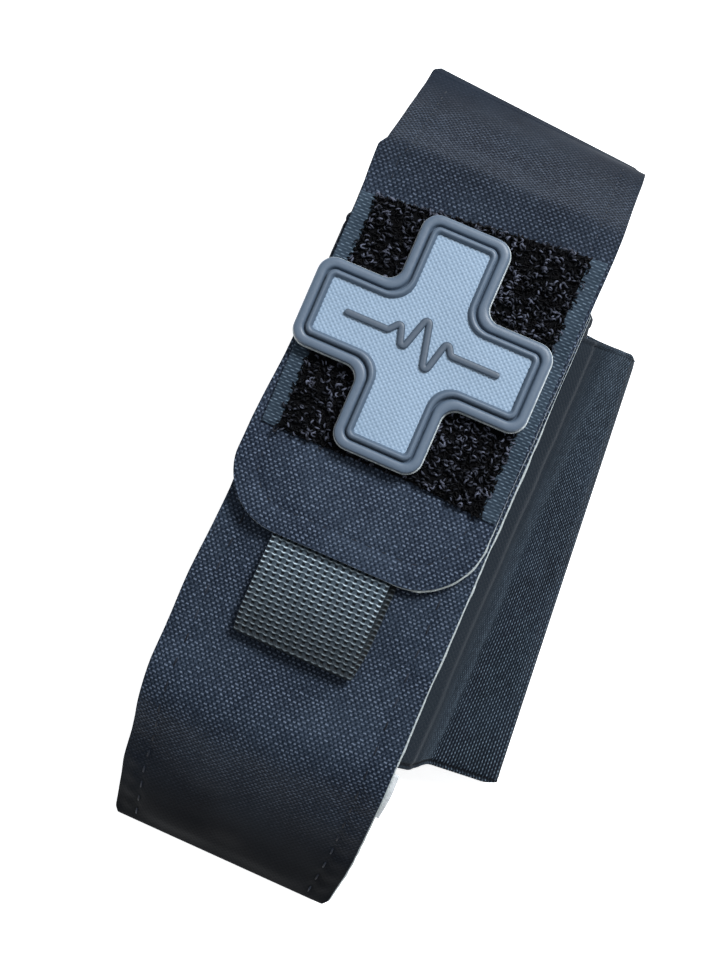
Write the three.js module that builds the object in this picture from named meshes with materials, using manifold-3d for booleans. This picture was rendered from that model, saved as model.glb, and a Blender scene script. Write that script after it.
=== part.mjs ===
// Tourniquet in its belt pouch, lying on its back.
// Millimetres. +Z out of the flap, +Y towards the fold that the flap turns on, +X towards the shears sleeve.
// The origin is under the middle of the bounding box, on the surface the pouch lies on.
import * as THREE from "three";
import { mergeVertices } from "three/addons/utils/BufferGeometryUtils.js";
import Module from "manifold-3d";

const wasm = await Module();
wasm.setup();

// ------------------------------------------------------------ driving dimensions
const BODY_W = 53; // width of the laminate strip that makes back, front and flap
const HALF_W = BODY_W / 2;
const FABRIC_T = 1.2; // laminate thickness
const SHIFT_X = -10.4; // puts the middle of the bounding box on the origin
const GAP = 0.25; // between sewn layers

const BACK_Z = 5.8; // middle of the back panel
const BACK_Y0 = -89.7;
const BACK_Y1 = 87.2;

const FRONT_Z = 37.4; // middle of the front panel's flat part
const FRONT_TOP_Y = 48; // mouth of the pouch
const FRONT_BEND_Y = -56; // where the front panel starts down to the bottom fold
const FRONT_END = [-87.6, 7.7];

const HINGE_Y = 89; // top fold: the flap's living hinge
const HINGE_Z = BACK_Z;
const FLAP_Z = 41.25; // middle of the flap's flat part
const FLAP_END_Y = -16.7;
const FLAP_CORNER_R = 12;
const FLAP_NECK_Y = 64.5; // a small step in the left edge, where the flap starts down over the end

const LOOP_Y0 = 2.9; // loop panel on the flap
const LOOP_Y1 = 55;
const LOOP_T = 1.3;
const LOOP_SKEW = [0.2, 2.1]; // the two ends are cut a little out of square

const CLOSURE_Y0 = -6; // hook and loop that hold the flap shut
const CLOSURE_Y1 = 26;
const CLOSURE_W = 40;

const SIDE_Y0 = -50.5; // elastic side walls and shears sleeve
const SIDE_Y1 = 49.5;
const ELASTIC_T = 1.2;
const SLEEVE_TOP_X = 40.9; // how far out the sleeve reaches at its two ends
const SLEEVE_LOW_X = 50.4;

const TAB_W = 25.4;
const TAB_X = -1.2;
const TAB_HINGE_Y = -18.2;
const TAB_HINGE_Z = 39.45;
const TAB_END_Y = -37.8;

const PATCH_X = -1.75; // rubber cross on the loop panel
const PATCH_Y = 29;
const PATCH_SIZE = 49.7;
const PATCH_ARM = 18.5;
const PATCH_RIM = 4;
const PATCH_BACK_T = 0.8;
const PATCH_T = 2.5;

const STRAP_X = 13; // belt and ladder-webbing straps on the back
const STRAP_W = 20;
const STRAP_T = 1.3;
const STRAP_Z = 2.15;
const STRAP_HINGE_Y = 57;
const STRAP_END_Y = -77;
const SNAP_Y = -68;

const TQ_W = 38; // folded tourniquet strap
const TQ_T = 2.4;
const TQ_PITCH = 3.2;
const TQ_Z0 = 8.7;
const ROD_R = 4;
const ROD_Z = 30.3;
const ROD_Y0 = -54;
const ROD_Y1 = 61;
const HUB_R = 5;
const CLIP_Y0 = -44;
const CLIP_Y1 = -28;

// ------------------------------------------------------------ shape helpers
// Corners [a, b] or [a, b, radius] become a list of points, each corner with a radius turned into an arc.
function filleted(corners, closed, seg = 6) {
  const n = corners.length,
    out = [];
  corners.forEach((c, i) => {
    const r = c[2] || 0;
    if (!r || (!closed && (i === 0 || i === n - 1))) {
      out.push([c[0], c[1]]);
      return;
    }
    const p = corners[(i + n - 1) % n],
      q = corners[(i + 1) % n];
    const a = [p[0] - c[0], p[1] - c[1]],
      b = [q[0] - c[0], q[1] - c[1]];
    const la = Math.hypot(...a),
      lb = Math.hypot(...b);
    a[0] /= la;
    a[1] /= la;
    b[0] /= lb;
    b[1] /= lb;
    const half = Math.acos(THREE.MathUtils.clamp(a[0] * b[0] + a[1] * b[1], -1, 1)) / 2;
    const cut = r / Math.tan(half),
      away = r / Math.sin(half);
    const m = [a[0] + b[0], a[1] + b[1]],
      lm = Math.hypot(...m);
    const o = [c[0] + (m[0] / lm) * away, c[1] + (m[1] / lm) * away];
    const s = [c[0] + a[0] * cut, c[1] + a[1] * cut],
      e = [c[0] + b[0] * cut, c[1] + b[1] * cut];
    const t0 = Math.atan2(s[1] - o[1], s[0] - o[0]);
    let dt = Math.atan2(e[1] - o[1], e[0] - o[0]) - t0;
    while (dt > Math.PI) dt -= 2 * Math.PI;
    while (dt < -Math.PI) dt += 2 * Math.PI;
    for (let k = 0; k <= seg; k++)
      out.push([o[0] + r * Math.cos(t0 + (dt * k) / seg), o[1] + r * Math.sin(t0 + (dt * k) / seg)]);
  });
  return out;
}

// The closed outline of a band of thickness t along an open path. roundStart and roundEnd give it a half-round end.
function band(path, t, roundStart = false, roundEnd = false) {
  const h = t / 2,
    left = [],
    right = [],
    n = path.length;
  const normal = (i) => {
    const a = path[Math.max(0, i - 1)],
      b = path[i],
      c = path[Math.min(n - 1, i + 1)];
    const d1 = [b[0] - a[0], b[1] - a[1]],
      d2 = [c[0] - b[0], c[1] - b[1]];
    const u = (d) => {
      const l = Math.hypot(...d) || 1;
      return [d[0] / l, d[1] / l];
    };
    const e1 = i === 0 ? u(d2) : u(d1),
      e2 = i === n - 1 ? u(d1) : u(d2);
    const m = u([e1[0] + e2[0], e1[1] + e2[1]]);
    const k = 1 / Math.max(0.5, m[0] * e1[0] + m[1] * e1[1]);
    return [-m[1] * h * k, m[0] * h * k];
  };
  path.forEach((p, i) => {
    const v = normal(i);
    left.push([p[0] + v[0], p[1] + v[1]]);
    right.push([p[0] - v[0], p[1] - v[1]]);
  });
  const cap = (p, from, turn) => {
    const pts = [];
    for (let k = 1; k < 6; k++) {
      const a = from + (turn * Math.PI * k) / 6;
      pts.push([p[0] + h * Math.cos(a), p[1] + h * Math.sin(a)]);
    }
    return pts;
  };
  const out = [...left];
  if (roundEnd) {
    const p = path[n - 1],
      l = left[n - 1];
    out.push(...cap(p, Math.atan2(l[1] - p[1], l[0] - p[0]), -1));
  }
  out.push(...right.reverse());
  if (roundStart) {
    const p = path[0],
      r = right[right.length - 1];
    out.push(...cap(p, Math.atan2(r[1] - p[1], r[0] - p[0]), -1));
  }
  return out;
}

function shapeOf(points, holes = []) {
  const clean = points.filter((p, i) => {
    const q = points[(i + points.length - 1) % points.length];
    return Math.hypot(p[0] - q[0], p[1] - q[1]) > 1e-3;
  });
  const v = clean.map((p) => new THREE.Vector2(p[0], p[1]));
  if (THREE.ShapeUtils.area(v) < 0) v.reverse();
  const s = new THREE.Shape(v);
  holes.forEach((h) => s.holes.push(new THREE.Path(h.map((p) => new THREE.Vector2(p[0], p[1])))));
  return s;
}
const bare = (g) => {
  g.deleteAttribute("normal");
  g.deleteAttribute("uv");
  return mergeVertices(g, 1e-4);
};
// (x, y) outline between two heights
function upright(points, z0, z1, holes = []) {
  const g = new THREE.ExtrudeGeometry(shapeOf(points, holes), { depth: z1 - z0, bevelEnabled: false, curveSegments: 12 });
  return bare(g.translate(0, 0, z0));
}
// (y, z) outline between two x
function across(points, x0, x1) {
  const g = new THREE.ExtrudeGeometry(shapeOf(points), { depth: x1 - x0, bevelEnabled: false });
  g.applyMatrix4(new THREE.Matrix4().set(0, 0, 1, x0, 1, 0, 0, 0, 0, 1, 0, 0, 0, 0, 0, 1));
  return bare(g);
}
// (x, z) outline between two y
function along(points, y0, y1, steps = 1) {
  const g = new THREE.ExtrudeGeometry(shapeOf(points), { depth: y1 - y0, bevelEnabled: false, steps });
  g.applyMatrix4(new THREE.Matrix4().set(1, 0, 0, 0, 0, 0, -1, y1, 0, 1, 0, 0, 0, 0, 0, 1));
  return bare(g);
}
const boxOf = (x0, x1, y0, y1, z0, z1) =>
  bare(new THREE.BoxGeometry(x1 - x0, y1 - y0, z1 - z0).translate((x0 + x1) / 2, (y0 + y1) / 2, (z0 + z1) / 2));
// a lathe about an upright axis through (x, y), from [radius, z] points
function turned(profile, x, y, seg = 20) {
  const g = new THREE.LatheGeometry(profile.map((p) => new THREE.Vector2(p[0], p[1])), seg);
  g.rotateX(Math.PI / 2); // the lathe's own axis is Y
  return bare(g.translate(x, y, 0));
}

function solid(g) {
  const m = g.index ? g : mergeVertices(g, 1e-4);
  const s = new wasm.Manifold(
    new wasm.Mesh({
      numProp: 3,
      vertProperties: new Float32Array(m.attributes.position.array),
      triVerts: new Uint32Array(m.index.array),
    }),
  );
  return s.volume() < 0 ? solid(flipped(m)) : s;
}
function flipped(g) {
  const out = g.clone(),
    i = out.index.array;
  for (let k = 0; k < i.length; k += 3) [i[k + 1], i[k + 2]] = [i[k + 2], i[k + 1]];
  return out;
}
function geometry(s) {
  const m = s.getMesh(),
    n = m.numProp,
    v = new Float32Array(m.numVert * 3);
  for (let i = 0; i < m.numVert; i++) v.set(m.vertProperties.subarray(i * n, i * n + 3), i * 3);
  return new THREE.BufferGeometry()
    .setAttribute("position", new THREE.BufferAttribute(v, 3))
    .setIndex(new THREE.BufferAttribute(new Uint32Array(m.triVerts), 1));
}
const cut = (a, ...b) => geometry(b.reduce((s, g) => s.subtract(solid(g)), solid(a)));
const join = (a, ...b) => geometry(b.reduce((s, g) => s.add(solid(g)), solid(a)));
const common = (a, b) => geometry(solid(a).intersect(solid(b)));
const rod = (x, y, r, z0, z1, seg = 20) =>
  turned(
    [
      [0, z0],
      [r, z0],
      [r, z1],
      [0, z1],
    ],
    x,
    y,
    seg,
  );

// ------------------------------------------------------------ materials
const mat = (color, roughness, metalness = 0) => new THREE.MeshStandardMaterial({ color, roughness, metalness });
const NYLON = mat(0x232830, 0.85);
const ELASTIC = mat(0x2a3238, 0.9);
const WEBBING = mat(0x39434a, 0.8);
const PILE = mat(0x101113, 1);
const HOOK = mat(0x17191b, 0.7);
const RUBBER = mat(0x4a545b, 0.5);
const FIELD = mat(0x8a9cae, 0.6);
const METAL = mat(0x2b2c2e, 0.35, 0.8);
const LABEL = mat(0xdfe2e2, 0.7);
const BAND = mat(0x1b1d1f, 0.85);
const PLASTIC = mat(0x151617, 0.45);
const ALLOY = mat(0x202224, 0.4, 0.7);

const part = new THREE.Group();
part.name = "tourniquet_pouch";
const pouch = new THREE.Group();
pouch.position.x = SHIFT_X;
part.add(pouch);
function add(name, geom, material, parent = pouch) {
  const m = new THREE.Mesh(geom, material);
  m.name = name;
  parent.add(m);
  return m;
}

// ------------------------------------------------------------ pouch shell
const studHoles = [-STRAP_X, STRAP_X].map((x) => rod(x, SNAP_Y, 2.2, 0, 12));
{
  const outline = filleted(
    [
      [-HALF_W + 1, BACK_Y0, 2],
      [HALF_W - 1, BACK_Y0, 2],
      [HALF_W, -50],
      [HALF_W, 50],
      [HALF_W - 1, BACK_Y1, 2],
      [-HALF_W + 1, BACK_Y1, 2],
      [-HALF_W, 50],
      [-HALF_W, -50],
    ],
    true,
    4,
  );
  add("back_panel", cut(upright(outline, BACK_Z - FABRIC_T / 2, BACK_Z + FABRIC_T / 2), ...studHoles), NYLON);
}
const frontPath = filleted([[FRONT_TOP_Y, FRONT_Z], [FRONT_BEND_Y, FRONT_Z, 16], FRONT_END], false, 6);
{
  const plan = filleted(
    [
      [-HALF_W + 1, -92],
      [HALF_W - 1, -92],
      [HALF_W, -58],
      [HALF_W, FRONT_TOP_Y + 5],
      [-HALF_W, FRONT_TOP_Y + 5],
      [-HALF_W, -12],
      [-HALF_W - 0.8, -28],
      [-HALF_W - 0.8, -54],
    ],
    true,
  );
  add("front_panel", common(across(band(frontPath, FABRIC_T), -30, 30), upright(plan, -5, 60)), NYLON);
}

// Elastic side walls bow out a little between the two cut edges.
const wallPath = filleted(
  [
    [25.3, BACK_Z + 0.9],
    [27.1, 13, 14],
    [27.5, 21, 20],
    [27.0, 29, 14],
    [25.4, FRONT_Z - 0.9],
  ],
  false,
  2,
);
const wall = along(band(wallPath, ELASTIC_T), SIDE_Y0, SIDE_Y1);
add("side_wall_right", wall, ELASTIC);
add("side_wall_left", flipped(wall.clone().applyMatrix4(new THREE.Matrix4().makeScale(-1, 1, 1))), ELASTIC);

// The shears sleeve is one band of the same elastic, sewn on under the front panel's right edge and along the foot of the wall.
// It is open at both ends, and stands out further at its lower end.
{
  const section = (shoulder, outer, heel) =>
    band(
      filleted([[28.6, 33], shoulder[0], shoulder[1], [outer, 4.2, 1.2], [heel, 2.6, 8], [31, 2.9, 4], [28.2, 5]], false, 4),
      ELASTIC_T,
    );
  const top = section([[31.6, 25.8, 10], [36, 15.3, 10]], SLEEVE_TOP_X, 35);
  const low = section([[31.4, 23, 10], [33.6, 15.2, 4]], SLEEVE_LOW_X, 39);
  const g = along(top, SIDE_Y0, SIDE_Y1, 6);
  const p = g.attributes.position;
  for (let i = 0; i < p.count; i++) {
    let at = 0,
      best = Infinity;
    top.forEach((q, k) => {
      const d = Math.hypot(q[0] - p.getX(i), q[1] - p.getZ(i));
      if (d < best) [best, at] = [d, k];
    });
    const down = (SIDE_Y1 - p.getY(i)) / (SIDE_Y1 - SIDE_Y0);
    p.setX(i, top[at][0] + (low[at][0] - top[at][0]) * down);
    p.setZ(i, top[at][1] + (low[at][1] - top[at][1]) * down);
  }
  add("shears_sleeve", g, ELASTIC);
}

// Hook and loop closure: the loop strip is on the front panel, under the flap.
const loopStripZ = FRONT_Z + FABRIC_T / 2 + GAP;
add(
  "closure_loop_strip",
  boxOf(-CLOSURE_W / 2, CLOSURE_W / 2, CLOSURE_Y0, CLOSURE_Y1, loopStripZ, loopStripZ + 1.0),
  PILE,
);

// A small blank label sewn under the right edge of the front panel.
{
  const under = frontPath.filter((p) => p[0] < -51.5 && p[0] > -63).map((p) => [p[0] + 0.6, p[1] - 1.3]);
  add("side_label", across(band(under, 0.5), 24.6, 29.2), LABEL);
}

// ------------------------------------------------------------ back: webbing, straps and press studs
add("back_webbing_anchor", boxOf(-25, 25, 58.4, 80, 0, 1.2), WEBBING);
add("back_webbing_upper", boxOf(-25, 25, 56, 82, 3.7, 4.95), WEBBING);
add("back_webbing_middle", boxOf(-25, 25, 4, 29, 3.7, 4.95), WEBBING);
add("back_webbing_lower", boxOf(-25, 25, -46, -21, 3.7, 4.95), WEBBING);
for (const [side, x] of [
  ["left", -STRAP_X],
  ["right", STRAP_X],
]) {
  const path = [
    [STRAP_HINGE_Y, STRAP_Z],
    [STRAP_END_Y, STRAP_Z],
  ];
  const plan = filleted(
    [
      [x - STRAP_W / 2, STRAP_END_Y, 3],
      [x + STRAP_W / 2, STRAP_END_Y, 3],
      [x + STRAP_W / 2, STRAP_HINGE_Y + 3],
      [x - STRAP_W / 2, STRAP_HINGE_Y + 3],
    ],
    true,
    4,
  );
  const strap = common(across(band(path, STRAP_T, true), x - STRAP_W, x + STRAP_W), upright(plan, 0, 5));
  add(`belt_strap_${side}`, cut(strap, rod(x, SNAP_Y, 2.3, 0, 5)), WEBBING);
  add(
    `snap_cap_${side}`,
    turned(
      [
        [0, 0],
        [4.6, 0],
        [5.8, 0.35],
        [6.2, 0.9],
        [6.0, 1.2],
        [1.9, 1.2],
        [1.9, 3.5],
        [0, 3.5],
      ],
      x,
      SNAP_Y,
    ),
    METAL,
  );
  add(
    `snap_socket_${side}`,
    turned(
      [
        [2.2, 3.05],
        [5.4, 3.05],
        [5.4, 3.6],
        [4.4, 4.3],
        [2.9, 4.3],
        [2.9, 3.6],
        [2.2, 3.6],
        [2.2, 3.05],
      ],
      x,
      SNAP_Y,
    ),
    METAL,
  );
  add(
    `snap_stud_${side}`,
    turned(
      [
        [0, 3.85],
        [2.3, 3.85],
        [2.5, 4.1],
        [2.3, 4.55],
        [4.8, 4.55],
        [4.8, 4.95],
        [1.8, 4.95],
        [1.8, 7.1],
        [0, 7.1],
      ],
      x,
      SNAP_Y,
    ),
    METAL,
  );
  add(
    `snap_eyelet_${side}`,
    turned(
      [
        [2.1, 6.65],
        [4.4, 6.65],
        [4.2, 7.0],
        [2.1, 7.15],
        [2.1, 6.65],
      ],
      x,
      SNAP_Y,
    ),
    METAL,
  );
}

// ------------------------------------------------------------ flap
const flapPath = filleted(
  [[HINGE_Y, HINGE_Z], [65.8, 37.2, 7], [57.5, FLAP_Z, 12], [FLAP_END_Y - 1, FLAP_Z]],
  false,
  5,
);
{
  const plan = filleted(
    [
      [-27.6, FLAP_END_Y, FLAP_CORNER_R],
      [25.8, FLAP_END_Y, FLAP_CORNER_R],
      [26.3, 48],
      [26.2, HINGE_Y + 5],
      [-26.0, HINGE_Y + 5],
      [-25.5, FLAP_NECK_Y + 3],
      [-26.4, FLAP_NECK_Y],
      [-25.8, 45],
      [-26.5, 17],
      [-27.5, 0],
    ],
    true,
    8,
  );
  add("flap_panel", common(across(band(flapPath, FABRIC_T, true), -30, 30), upright(plan, -5, 60)), NYLON);
}
const flapTop = FLAP_Z + FABRIC_T / 2;
const flapUnder = FLAP_Z - FABRIC_T / 2;
{
  const w = 25.5;
  add(
    "flap_loop_panel",
    upright(
      [
        [-w, LOOP_Y0 - LOOP_SKEW[0]],
        [w, LOOP_Y0 + LOOP_SKEW[0]],
        [w, LOOP_Y1 + LOOP_SKEW[1]],
        [-w, LOOP_Y1 - LOOP_SKEW[1]],
      ],
      flapTop + GAP,
      flapTop + GAP + LOOP_T,
    ),
    PILE,
  );
}
add(
  "flap_hook_strip",
  boxOf(-CLOSURE_W / 2, CLOSURE_W / 2, CLOSURE_Y0, CLOSURE_Y1, flapUnder - GAP - 0.9, flapUnder - GAP),
  HOOK,
);
// The pull tab's sewn end stays with the flap; the loop beyond the flap's edge lifts.
add(
  "pull_tab_anchor",
  boxOf(TAB_X - TAB_W / 2, TAB_X + TAB_W / 2, FLAP_END_Y, FLAP_END_Y + 8.1, flapUnder - GAP - 2.0, flapUnder - GAP),
  WEBBING,
);
{
  const y0 = TAB_HINGE_Y,
    y1 = TAB_END_Y;
  const outer = [];
  for (let k = 0; k <= 8; k++) {
    // the knuckle at the flap's edge
    const t = -Math.PI / 2 + (Math.PI * k) / 8;
    outer.push([y0 + 1.1 * Math.cos(t), TAB_HINGE_Z + 1.1 * Math.sin(t)]);
  }
  outer.push([y0 - 8, TAB_HINGE_Z + 1.7]);
  for (let k = 0; k <= 8; k++) {
    // the fold at the free end
    const t = Math.PI / 2 + (Math.PI * k) / 8;
    outer.push([y1 + 1.5 + 1.5 * Math.cos(t), TAB_HINGE_Z + 0.7 + 1.5 * Math.sin(t)]);
  }
  outer.push([y0 - 8, TAB_HINGE_Z - 1.0]);
  const hollow = [
    [y0 - 4, TAB_HINGE_Z - 0.05],
    [y0 - 4, TAB_HINGE_Z + 0.25],
    [y1 + 3, TAB_HINGE_Z + 1.0],
    [y1 + 2, TAB_HINGE_Z + 0.6],
    [y1 + 3, TAB_HINGE_Z + 0.2],
  ];
  add(
    "pull_tab",
    cut(across(outer, TAB_X - TAB_W / 2, TAB_X + TAB_W / 2), across(hollow, TAB_X - TAB_W, TAB_X + TAB_W)),
    WEBBING,
  );
}

// ------------------------------------------------------------ rubber cross patch
// The outline of a cross: overall size s, arm width w, outer corners of radius r, inner corners of radius q.
function cross(s, w, r, q, seg = 5) {
  const a = s / 2,
    b = w / 2;
  return filleted(
    [
      [b, a, r],
      [b, b, q],
      [a, b, r],
      [a, -b, r],
      [b, -b, q],
      [b, -a, r],
      [-b, -a, r],
      [-b, -b, q],
      [-a, -b, r],
      [-a, b, r],
      [-b, b, q],
      [-b, a, r],
    ],
    true,
    seg,
  );
}
const patch = new THREE.Group();
patch.position.set(PATCH_X, PATCH_Y, flapTop + GAP + LOOP_T + GAP);
pouch.add(patch);
{
  const s = PATCH_SIZE,
    w = PATCH_ARM;
  add("patch_hook_backing", upright(cross(s - 0.6, w - 0.6, 3, 4.3), 0, PATCH_BACK_T), HOOK, patch);
  const z = PATCH_BACK_T + GAP;
  const whole = upright(cross(s, w, 3.4, 4), z, z + 1.7);
  const rim = upright(cross(s - 3, w - 3, 2.4, 5), z + 0.5, z + PATCH_T);
  const pocket = upright(cross(s - 2 * PATCH_RIM, w - 2 * PATCH_RIM, 0.8, 7), z + 0.8, z + 9);
  add("patch_rim", cut(join(whole, rim), pocket), RUBBER, patch);
  const inset = 0.5;
  add(
    "patch_field",
    upright(cross(s - 2 * PATCH_RIM - inset, w - 2 * PATCH_RIM - inset, 0.6, 7.2), z + 1.05, z + 1.75),
    FIELD,
    patch,
  );
  // a plain raised pulse line across the field
  const line = [
    [-16.5, 0],
    [-7.2, 0],
    [-5.2, 2.4],
    [-3.4, -3.2],
    [-0.6, 6.2],
    [2.4, -6.2],
    [4.6, 2.6],
    [6.2, 0],
    [16.5, 0],
  ];
  add("patch_pulse_line", upright(band(line, 1.1), z + 2.0, z + 2.5), RUBBER, patch);
}

// ------------------------------------------------------------ the folded tourniquet
{
  // Five layers of the strap, folded back and forth.
  const z = (k) => TQ_Z0 + TQ_PITCH * k;
  const path = [[60, z(0)]];
  const folds = [
    [-74, 0, -1],
    [69, 1, 1],
    [-68, 2, -1],
    [66, 3, 1],
  ];
  for (const [y, k, side] of folds) {
    const zc = z(k) + TQ_PITCH / 2,
      r = TQ_PITCH / 2;
    for (let i = 0; i <= 6; i++) {
      const a = -Math.PI / 2 + (Math.PI * i) / 6;
      path.push([y + side * r * Math.cos(a), zc + r * Math.sin(a)]);
    }
  }
  path.push([-55, z(4)]);
  add("tourniquet_strap", across(band(path, TQ_T), -TQ_W / 2, TQ_W / 2), BAND);
  add(
    "strap_tip",
    across(
      filleted(
        [
          [-55.3, z(4) - 1.1],
          [-55.3, z(4) + 1.1],
          [-61, z(4) + 0.7, 0.5],
          [-61, z(4) - 0.7, 0.5],
        ],
        true,
        3,
      ),
      -TQ_W / 2 + 1,
      TQ_W / 2 - 1,
    ),
    PLASTIC,
  );
  const top = z(4) + TQ_T / 2 + 0.3;
  add(
    "stabilizer_plate",
    upright(
      filleted(
        [
          [-18, -50, 6],
          [18, -50, 6],
          [18, 38, 6],
          [-18, 38, 6],
        ],
        true,
        5,
      ),
      top,
      top + 1.5,
    ),
    PLASTIC,
  );
  const onPlate = top + 1.8;
  // The clip: a base and two hooked arms that the rod snaps between.
  const arm = (s) =>
    along(
      band(
        filleted(
          [
            [s * 7.0, onPlate + 0.6],
            [s * 7.4, ROD_Z - 1, 3],
            [s * 7.0, ROD_Z + 2.4, 2.5],
            [s * 3.8, ROD_Z + 3.7, 1.5],
            [s * 2.8, ROD_Z + 4.1],
          ],
          false,
          3,
        ),
        1.4,
      ),
      CLIP_Y0,
      CLIP_Y1,
    );
  const clipBase = upright(
    filleted(
      [
        [-15, CLIP_Y0 - 2, 2],
        [15, CLIP_Y0 - 2, 2],
        [15, CLIP_Y1 + 2, 2],
        [-15, CLIP_Y1 + 2, 2],
      ],
      true,
      3,
    ),
    onPlate,
    onPlate + 1.3,
  );
  add("windlass_clip", join(clipBase, arm(-1), arm(1)), PLASTIC);
  // The rod, with domed grooved ends, a thicker middle and a slot that the inner band passes through.
  const mid = (ROD_Y0 + ROD_Y1) / 2;
  const half = (ROD_Y1 - ROD_Y0) / 2;
  const side = [
    [HUB_R, 0],
    [HUB_R, 13],
    [ROD_R, 16],
    [ROD_R, half - 15],
    [ROD_R - 0.6, half - 14.4],
    [ROD_R - 0.6, half - 13],
    [ROD_R, half - 12.4],
    [ROD_R, half - 9.4],
    [ROD_R - 0.6, half - 8.8],
    [ROD_R - 0.6, half - 7.4],
    [ROD_R, half - 6.8],
    [ROD_R, half - 2.2],
    [ROD_R * 0.8, half - 0.8],
    [ROD_R * 0.45, half - 0.1],
    [0, half],
  ];
  const profile = [...side.slice(1).reverse().map(([r, h]) => [r, -h]), ...side.slice(1)];
  const bar = new THREE.LatheGeometry(profile.map((p) => new THREE.Vector2(p[0], p[1])), 18);
  bar.translate(0, mid, ROD_Z);
  add("windlass_rod", cut(bare(bar), boxOf(-8, 8, mid - 11.5, mid + 11.5, ROD_Z - 1.1, ROD_Z + 1.1)), ALLOY);
  const b = [
    [-16, onPlate + 0.6],
    [-9.5, onPlate + 0.6, 0.8],
    [-8.2, ROD_Z, 2],
    [8.2, ROD_Z, 2],
    [9.5, onPlate + 0.6, 0.8],
    [16, onPlate + 0.6],
  ];
  add("inner_band", along(band(filleted(b, false, 3), 1.2), mid - 10.5, mid + 10.5), BAND);
  // The strip that closes over the clip and carries the time of application.
  const s = [
    [-17, onPlate + 1.6],
    [-16.4, ROD_Z, 4],
    [-12.5, ROD_Z + 5.6, 3],
    [12.5, ROD_Z + 5.6, 3],
    [16.4, ROD_Z, 4],
    [17, onPlate + 1.6],
  ];
  add("time_strap", along(band(filleted(s, false, 4), 0.8), CLIP_Y0 + 1, CLIP_Y1 - 1), LABEL);
  // Two-bar buckle at the head of the strap.
  const frame = (x, y0, y1, r) =>
    filleted(
      [
        [-x, y0, r],
        [x, y0, r],
        [x, y1, r],
        [-x, y1, r],
      ],
      true,
      4,
    );
  const buckle = cut(
    upright(frame(22.5, 41, 65, 3), top, top + 2.8),
    upright(frame(19.5, 44, 50.6, 0.8), top - 1, top + 5),
    upright(frame(19.5, 54, 61, 0.8), top - 1, top + 5),
  );
  add("tourniquet_buckle", buckle, PLASTIC);
}

export default part;
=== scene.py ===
import math

import bpy
import numpy as np
from mathutils import Matrix, Vector


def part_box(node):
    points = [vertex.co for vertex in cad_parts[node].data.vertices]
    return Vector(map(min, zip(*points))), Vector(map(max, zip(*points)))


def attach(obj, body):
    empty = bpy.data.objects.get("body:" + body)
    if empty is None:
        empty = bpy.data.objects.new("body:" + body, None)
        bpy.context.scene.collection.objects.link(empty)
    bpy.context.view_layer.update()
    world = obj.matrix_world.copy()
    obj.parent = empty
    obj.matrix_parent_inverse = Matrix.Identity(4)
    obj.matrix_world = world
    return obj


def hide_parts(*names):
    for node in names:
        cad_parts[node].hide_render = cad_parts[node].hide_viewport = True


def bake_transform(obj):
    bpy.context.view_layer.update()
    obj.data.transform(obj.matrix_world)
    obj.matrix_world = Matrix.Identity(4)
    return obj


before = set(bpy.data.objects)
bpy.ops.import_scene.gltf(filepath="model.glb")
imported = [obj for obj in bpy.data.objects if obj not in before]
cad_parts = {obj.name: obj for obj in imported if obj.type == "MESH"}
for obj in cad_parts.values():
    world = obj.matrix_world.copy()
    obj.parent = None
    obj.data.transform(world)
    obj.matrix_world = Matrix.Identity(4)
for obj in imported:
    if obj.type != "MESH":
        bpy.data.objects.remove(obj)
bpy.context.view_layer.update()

PI = math.pi
_lo, _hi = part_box("back_panel")
SX = (_lo.x + _hi.x) / 2 * 1000  # body x = 0 in the row frame, mm
RNG = np.random.default_rng(20)


def row(x, y, z):
    return ((x + SX) / 1000, y / 1000, z / 1000)


# ------------------------------------------------------------------ mesh making
def make(name, V, quads, tris=(), uv=None, mats=None, smooth=True, sharp=None):
    """V in body millimetres; uv is per vertex, in millimetres; mats is a material index per face (quads, then tris)."""
    V = np.asarray(V, float).reshape(-1, 3).copy()
    V[:, 0] += SX
    V /= 1000
    quads = np.asarray(quads, np.int32).reshape(-1, 4)
    tris = np.asarray(tris, np.int32).reshape(-1, 3)
    loops = np.concatenate([quads.ravel(), tris.ravel()])
    starts = np.concatenate([np.arange(len(quads)) * 4, len(quads) * 4 + np.arange(len(tris)) * 3])
    me = bpy.data.meshes.new(name)
    me.vertices.add(len(V))
    me.vertices.foreach_set("co", V.astype(np.float32).ravel())
    me.loops.add(len(loops))
    me.loops.foreach_set("vertex_index", loops.astype(np.int32))
    me.polygons.add(len(starts))
    me.polygons.foreach_set("loop_start", starts.astype(np.int32))
    if mats is not None:
        me.polygons.foreach_set("material_index", np.asarray(mats, np.int32))
    me.polygons.foreach_set("use_smooth", np.full(len(starts), smooth, bool))
    me.update(calc_edges=True)
    if uv is not None:
        layer = me.uv_layers.new(name="mm")
        layer.data.foreach_set("uv", np.asarray(uv, np.float32)[loops].ravel())
    me.validate()
    ob = bpy.data.objects.new(name, me)
    bpy.context.scene.collection.objects.link(ob)
    if sharp:
        me.set_sharp_from_angle(angle=math.radians(sharp))
    return ob


def grid_quads(n, m, off=0, flip=False):
    i, j = np.meshgrid(np.arange(n - 1), np.arange(m - 1), indexing="ij")
    a = (i * m + j).ravel() + off
    q = np.stack([a, a + 1, a + m + 1, a + m], 1)
    return q[:, ::-1] if flip else q


def ring_index(n, m):
    """Boundary vertices of an n x m grid, once round."""
    return np.concatenate(
        [
            np.arange(m),
            np.arange(1, n) * m + m - 1,
            (n - 1) * m + np.arange(m - 2, -1, -1),
            np.arange(n - 2, 0, -1) * m,
        ]
    )


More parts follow.
